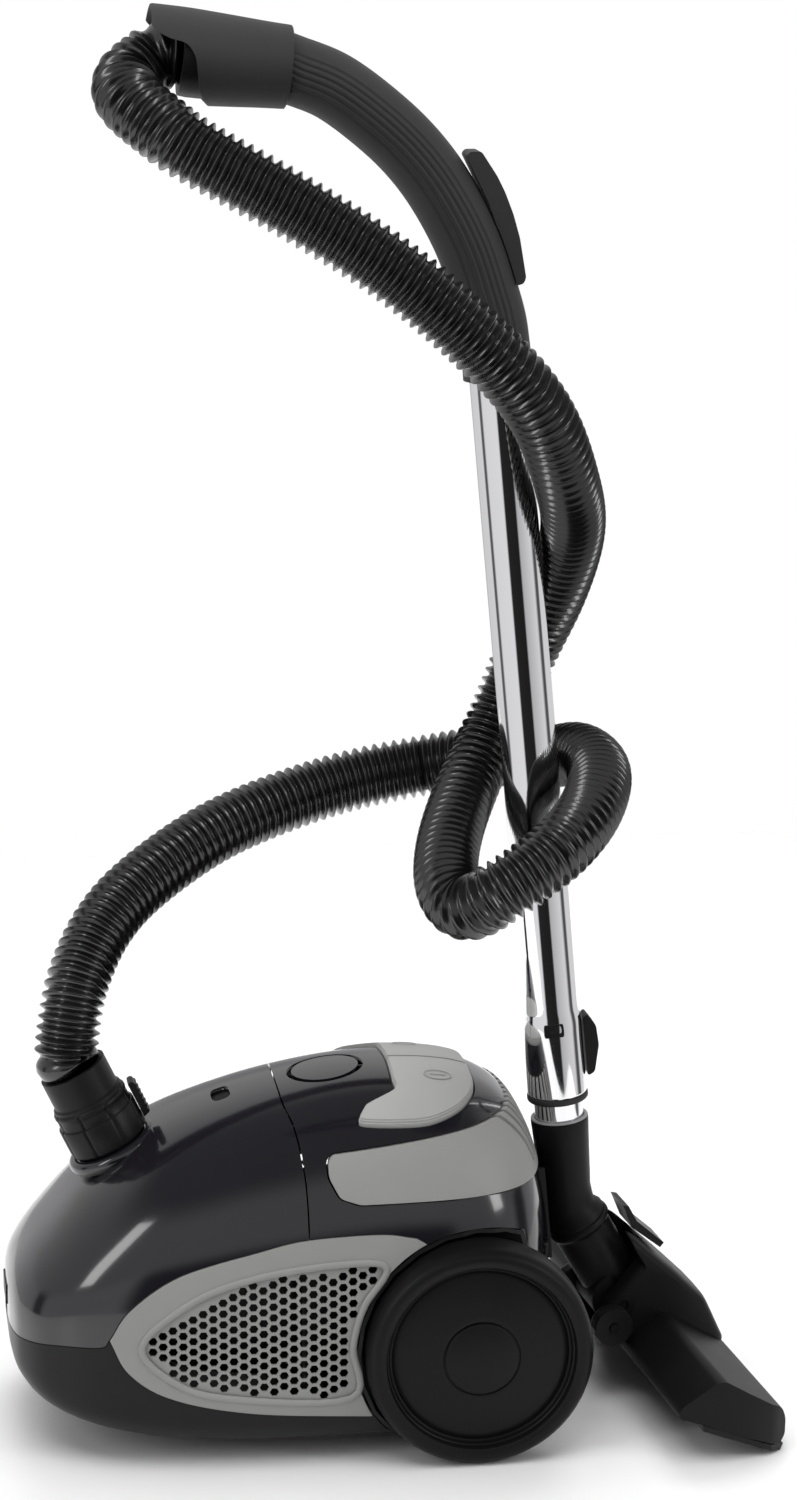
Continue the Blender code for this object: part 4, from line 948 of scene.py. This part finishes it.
def make_head():
    drop = (ELBOW_END - NECK_END).normalized()
    profile = [(14.6, 0.4), (19.8, 0.4)] + curved(
        ((20.4, 0.9), (20.8, 2.6), (20.6, 4.4), (19.4, 6.0), (18.9, 9), (18.7, 20), (18.6, 43.4)), 4)
    profile += [(18.2, 44), (14.6, 44)]
    elbow = lathe("elbow_tube", NECK_END, drop, profile, 72, "head_black")
    cut(elbow, lathe("elbow_barrel", TILT_AT, (0, 1, 0), ((17, -18.5), (17, 18.5)), 64, None, False), "UNION")
    for side in (-1, 1):
        cut(elbow, lathe(f"elbow_pin{side}", TILT_AT, (0, side, 0), ((3, 10), (3, 30)), 32, None, False), "UNION")
    put(swivel(settle(elbow, 0.4, 2, 38)), "elbow", "dark_plastic", "elbow")
    nozzle = rounded(((137, 31), (139, 38), (162, 53), (167, 53), (207, 28), (210.5, 20), (210, 8.5), (205.5, 4.5),
                      (152, 26)), 3.0)
    head = prism("head_body", nozzle, "xz", -HEAD_HALF, HEAD_HALF, "head_black")
    tip = ((100, 140), (142, HEAD_HALF - 2), (175, HEAD_HALF + 1), (198, HEAD_HALF - 3), (214, 132),
           (214, -132), (198, 3 - HEAD_HALF), (175, -1 - HEAD_HALF), (142, 2 - HEAD_HALF), (100, -140))
    cut(head, keep(prism("keep_tips", tip, "xy", -5, 120)), "INTERSECT")
    hump = rounded(((125, 60), (151, 91), (140, 109), (146, 106), (174, 80), (196, 58), (210, 27), (198, 14), (150, 27),
                    (137, 33), (121, 40)), 4.0)
    ends = ((31, 0.80), (30, 0.87), (28, 0.925), (24, 0.965), (17, 0.99))  # (y, size) of each slice of the hump
    sizes = [(-y, size) for y, size in ends] + [(0, 1.0)] + list(reversed(ends))
    slices = [[(165 + (x - 165) * size, y, 55 + (z - 55) * size) for x, z in hump] for y, size in sizes]
    cut(head, add("add_hump", *rings_to_mesh(slices)), "UNION")
    cut(head, prism("cut_channel", ((158, 15), (163, 33), (186, 24), (192, 9)), "xz", 6 - HEAD_HALF, HEAD_HALF - 6))
    cut(head, prism("cut_pocket", ((186, 6), (184.6, 15.5), (191.5, 14), (194, 5)), "xz", -101, 101))
    cut(head, lathe("cut_barrel", TILT_AT, (0, 1, 0), ((18.2, -20), (18.2, 20)), 64, None, False))
    cut(head, prism("cut_swing", ((138, 61), (157, 66), (154, 110), (143, 122), (90, 122), (90, 30), (132, 44)), "xz",
                    -20.5, 20.5))
    cut(head, prism("cut_duct", ((140, 62), (152, 48), (176, 28), (168, 12), (140, 36)), "xz", -14, 14))
    cut(head, lathe("cut_pins", TILT_AT, (0, 1, 0), ((3.3, -40), (3.3, 40)), 32, None, False))
    for side in (-1, 1):
        pin = lathe(f"wheel_pin{side}", (128, 0, 51), (0, side, 0), ((3.0, 26), (3.0, 44.5)), 24, None, False)
        cut(head, pin, "UNION")
    put(swivel(settle(head, 2.2, 4, 30)), "floor_head", "head_black", "head_shell")


make_body()
make_wheels()
make_cuff()
make_wand()
make_handle()
make_head()
tidy()

# CAD nodes that stay: softened edges
for name, node in frame["nodes"].items():
    if node.hide_render:
        continue
    step = node.modifiers.new("soft_edges", "BEVEL")
    step.width, step.segments, step.limit_method, step.angle_limit = 0.0004, 2, "ANGLE", math.radians(32)
    step.harden_normals = True
    shade(node.data, 32)

# ---------------------------------------------------------------- floor, room and light


def make_stage():
    mesh = bpy.data.meshes.new("floor")
    edge = rounded(((-0.8, -0.6), (0.8, -0.6), (0.8, 1.3), (-0.8, 1.3)), 0.3, 8)
    mesh.from_pydata([(x, y, 0.0) for x, y in edge], [], [tuple(range(len(edge)))])
    mesh.shade_smooth()
    floor = bpy.data.objects.new("floor", mesh)
    bpy.context.scene.collection.objects.link(floor)
    material("floor_pale", (0.92, 0.92, 0.92), 0.38, 0.0, 60, 0.0, 0.004)
    mesh.materials.append(MATERIALS["floor_pale"])
    make_world()
    bpy.context.scene.view_settings.view_transform = "Standard"
    for name, place, wide, tall, power in (
        ("ceiling", (-0.3, -0.3, 2.5), 2.6, 2.4, 60), ("left", (-2.1, -1.3, 1.5), 0.5, 1.5, 13),
        ("right", (2.2, -1.5, 1.4), 0.45, 1.5, 13), ("behind", (0.5, 1.3, 2.3), 2.2, 1.0, 30),
    ):
        data = bpy.data.lights.new(name, "AREA")
        data.shape, data.size, data.size_y, data.energy = "RECTANGLE", wide, tall, power
        light = bpy.data.objects.new(name, data)
        bpy.context.scene.collection.objects.link(light)
        light.visible_glossy = name in ("left", "right")
        aim(light, Vector(place), Vector((0, 0, 0.3)))


def make_world():
    """White to the camera. To everything else a studio with low pale screens and dark gaps between them, a plain pale
    wall above, and a dim ceiling."""
    world = bpy.data.worlds.new("studio")
    world.use_nodes = True
    nodes, links = world.node_tree.nodes, world.node_tree.links
    plain = nodes["Background"]
    plain.inputs["Color"].default_value = (1.0, 1.0, 1.0, 1)
    plain.inputs["Strength"].default_value = 1.0
    place = nodes.new("ShaderNodeTexCoord")
    parts = nodes.new("ShaderNodeSeparateXYZ")
    links.new(place.outputs["Generated"], parts.inputs["Vector"])
    back = nodes.new("ShaderNodeMath")
    back.operation = "MULTIPLY"
    back.inputs[1].default_value = -1.0
    links.new(parts.outputs["Y"], back.inputs[0])
    turn = nodes.new("ShaderNodeMath")
    turn.operation = "ARCTAN2"
    links.new(parts.outputs["X"], turn.inputs[0])
    links.new(back.outputs[0], turn.inputs[1])
    share = nodes.new("ShaderNodeMapRange")
    share.inputs["From Min"].default_value, share.inputs["From Max"].default_value = -math.pi, math.pi
    links.new(turn.outputs[0], share.inputs["Value"])
    walls = nodes.new("ShaderNodeValToRGB")
    ramp = walls.color_ramp
    stops = ((0.0, 0.35), (0.06, 0.7), (0.20, 0.75), (0.215, 0.12), (0.24, 0.10), (0.26, 0.78), (0.42, 0.82),
             (0.435, 0.02), (0.55, 0.015), (0.565, 0.5), (0.70, 0.75), (0.73, 0.08), (0.76, 0.10), (0.78, 0.75),
             (0.94, 0.7), (1.0, 0.35))
    while len(ramp.elements) < len(stops):
        ramp.elements.new(0.5)
    for element, (position, tone) in zip(ramp.elements, stops):
        element.position, element.color = position, (tone, tone, tone * 1.02, 1)
    links.new(share.outputs["Result"], walls.inputs["Fac"])
    rise, overhead = [nodes.new("ShaderNodeMapRange") for _ in range(2)]
    for step, values in ((rise, (0.12, 0.26, 0.0, 1.0)), (overhead, (0.60, 0.86, 0.62, 0.14))):
        step.interpolation_type = "SMOOTHSTEP"
        for key, value in zip(("From Min", "From Max", "To Min", "To Max"), values):
            step.inputs[key].default_value = value
        links.new(parts.outputs["Z"], step.inputs["Value"])
    mix = nodes.new("ShaderNodeMixRGB")
    links.new(overhead.outputs["Result"], mix.inputs["Color2"])
    links.new(rise.outputs["Result"], mix.inputs["Fac"])
    links.new(walls.outputs["Color"], mix.inputs["Color1"])
    room = nodes.new("ShaderNodeBackground")
    links.new(mix.outputs["Color"], room.inputs["Color"])
    path = nodes.new("ShaderNodeLightPath")
    level = nodes.new("ShaderNodeMath")
    level.operation = "MULTIPLY_ADD"
    level.inputs[1].default_value, level.inputs[2].default_value = 0.25, 0.7
    links.new(path.outputs["Is Glossy Ray"], level.inputs[0])
    links.new(level.outputs[0], room.inputs["Strength"])
    choose = nodes.new("ShaderNodeMixShader")
    links.new(path.outputs["Is Camera Ray"], choose.inputs["Fac"])
    links.new(room.outputs["Background"], choose.inputs[1])
    links.new(plain.outputs["Background"], choose.inputs[2])
    links.new(choose.outputs["Shader"], nodes["World Output"].inputs["Surface"])
    bpy.context.scene.world = world


make_stage()
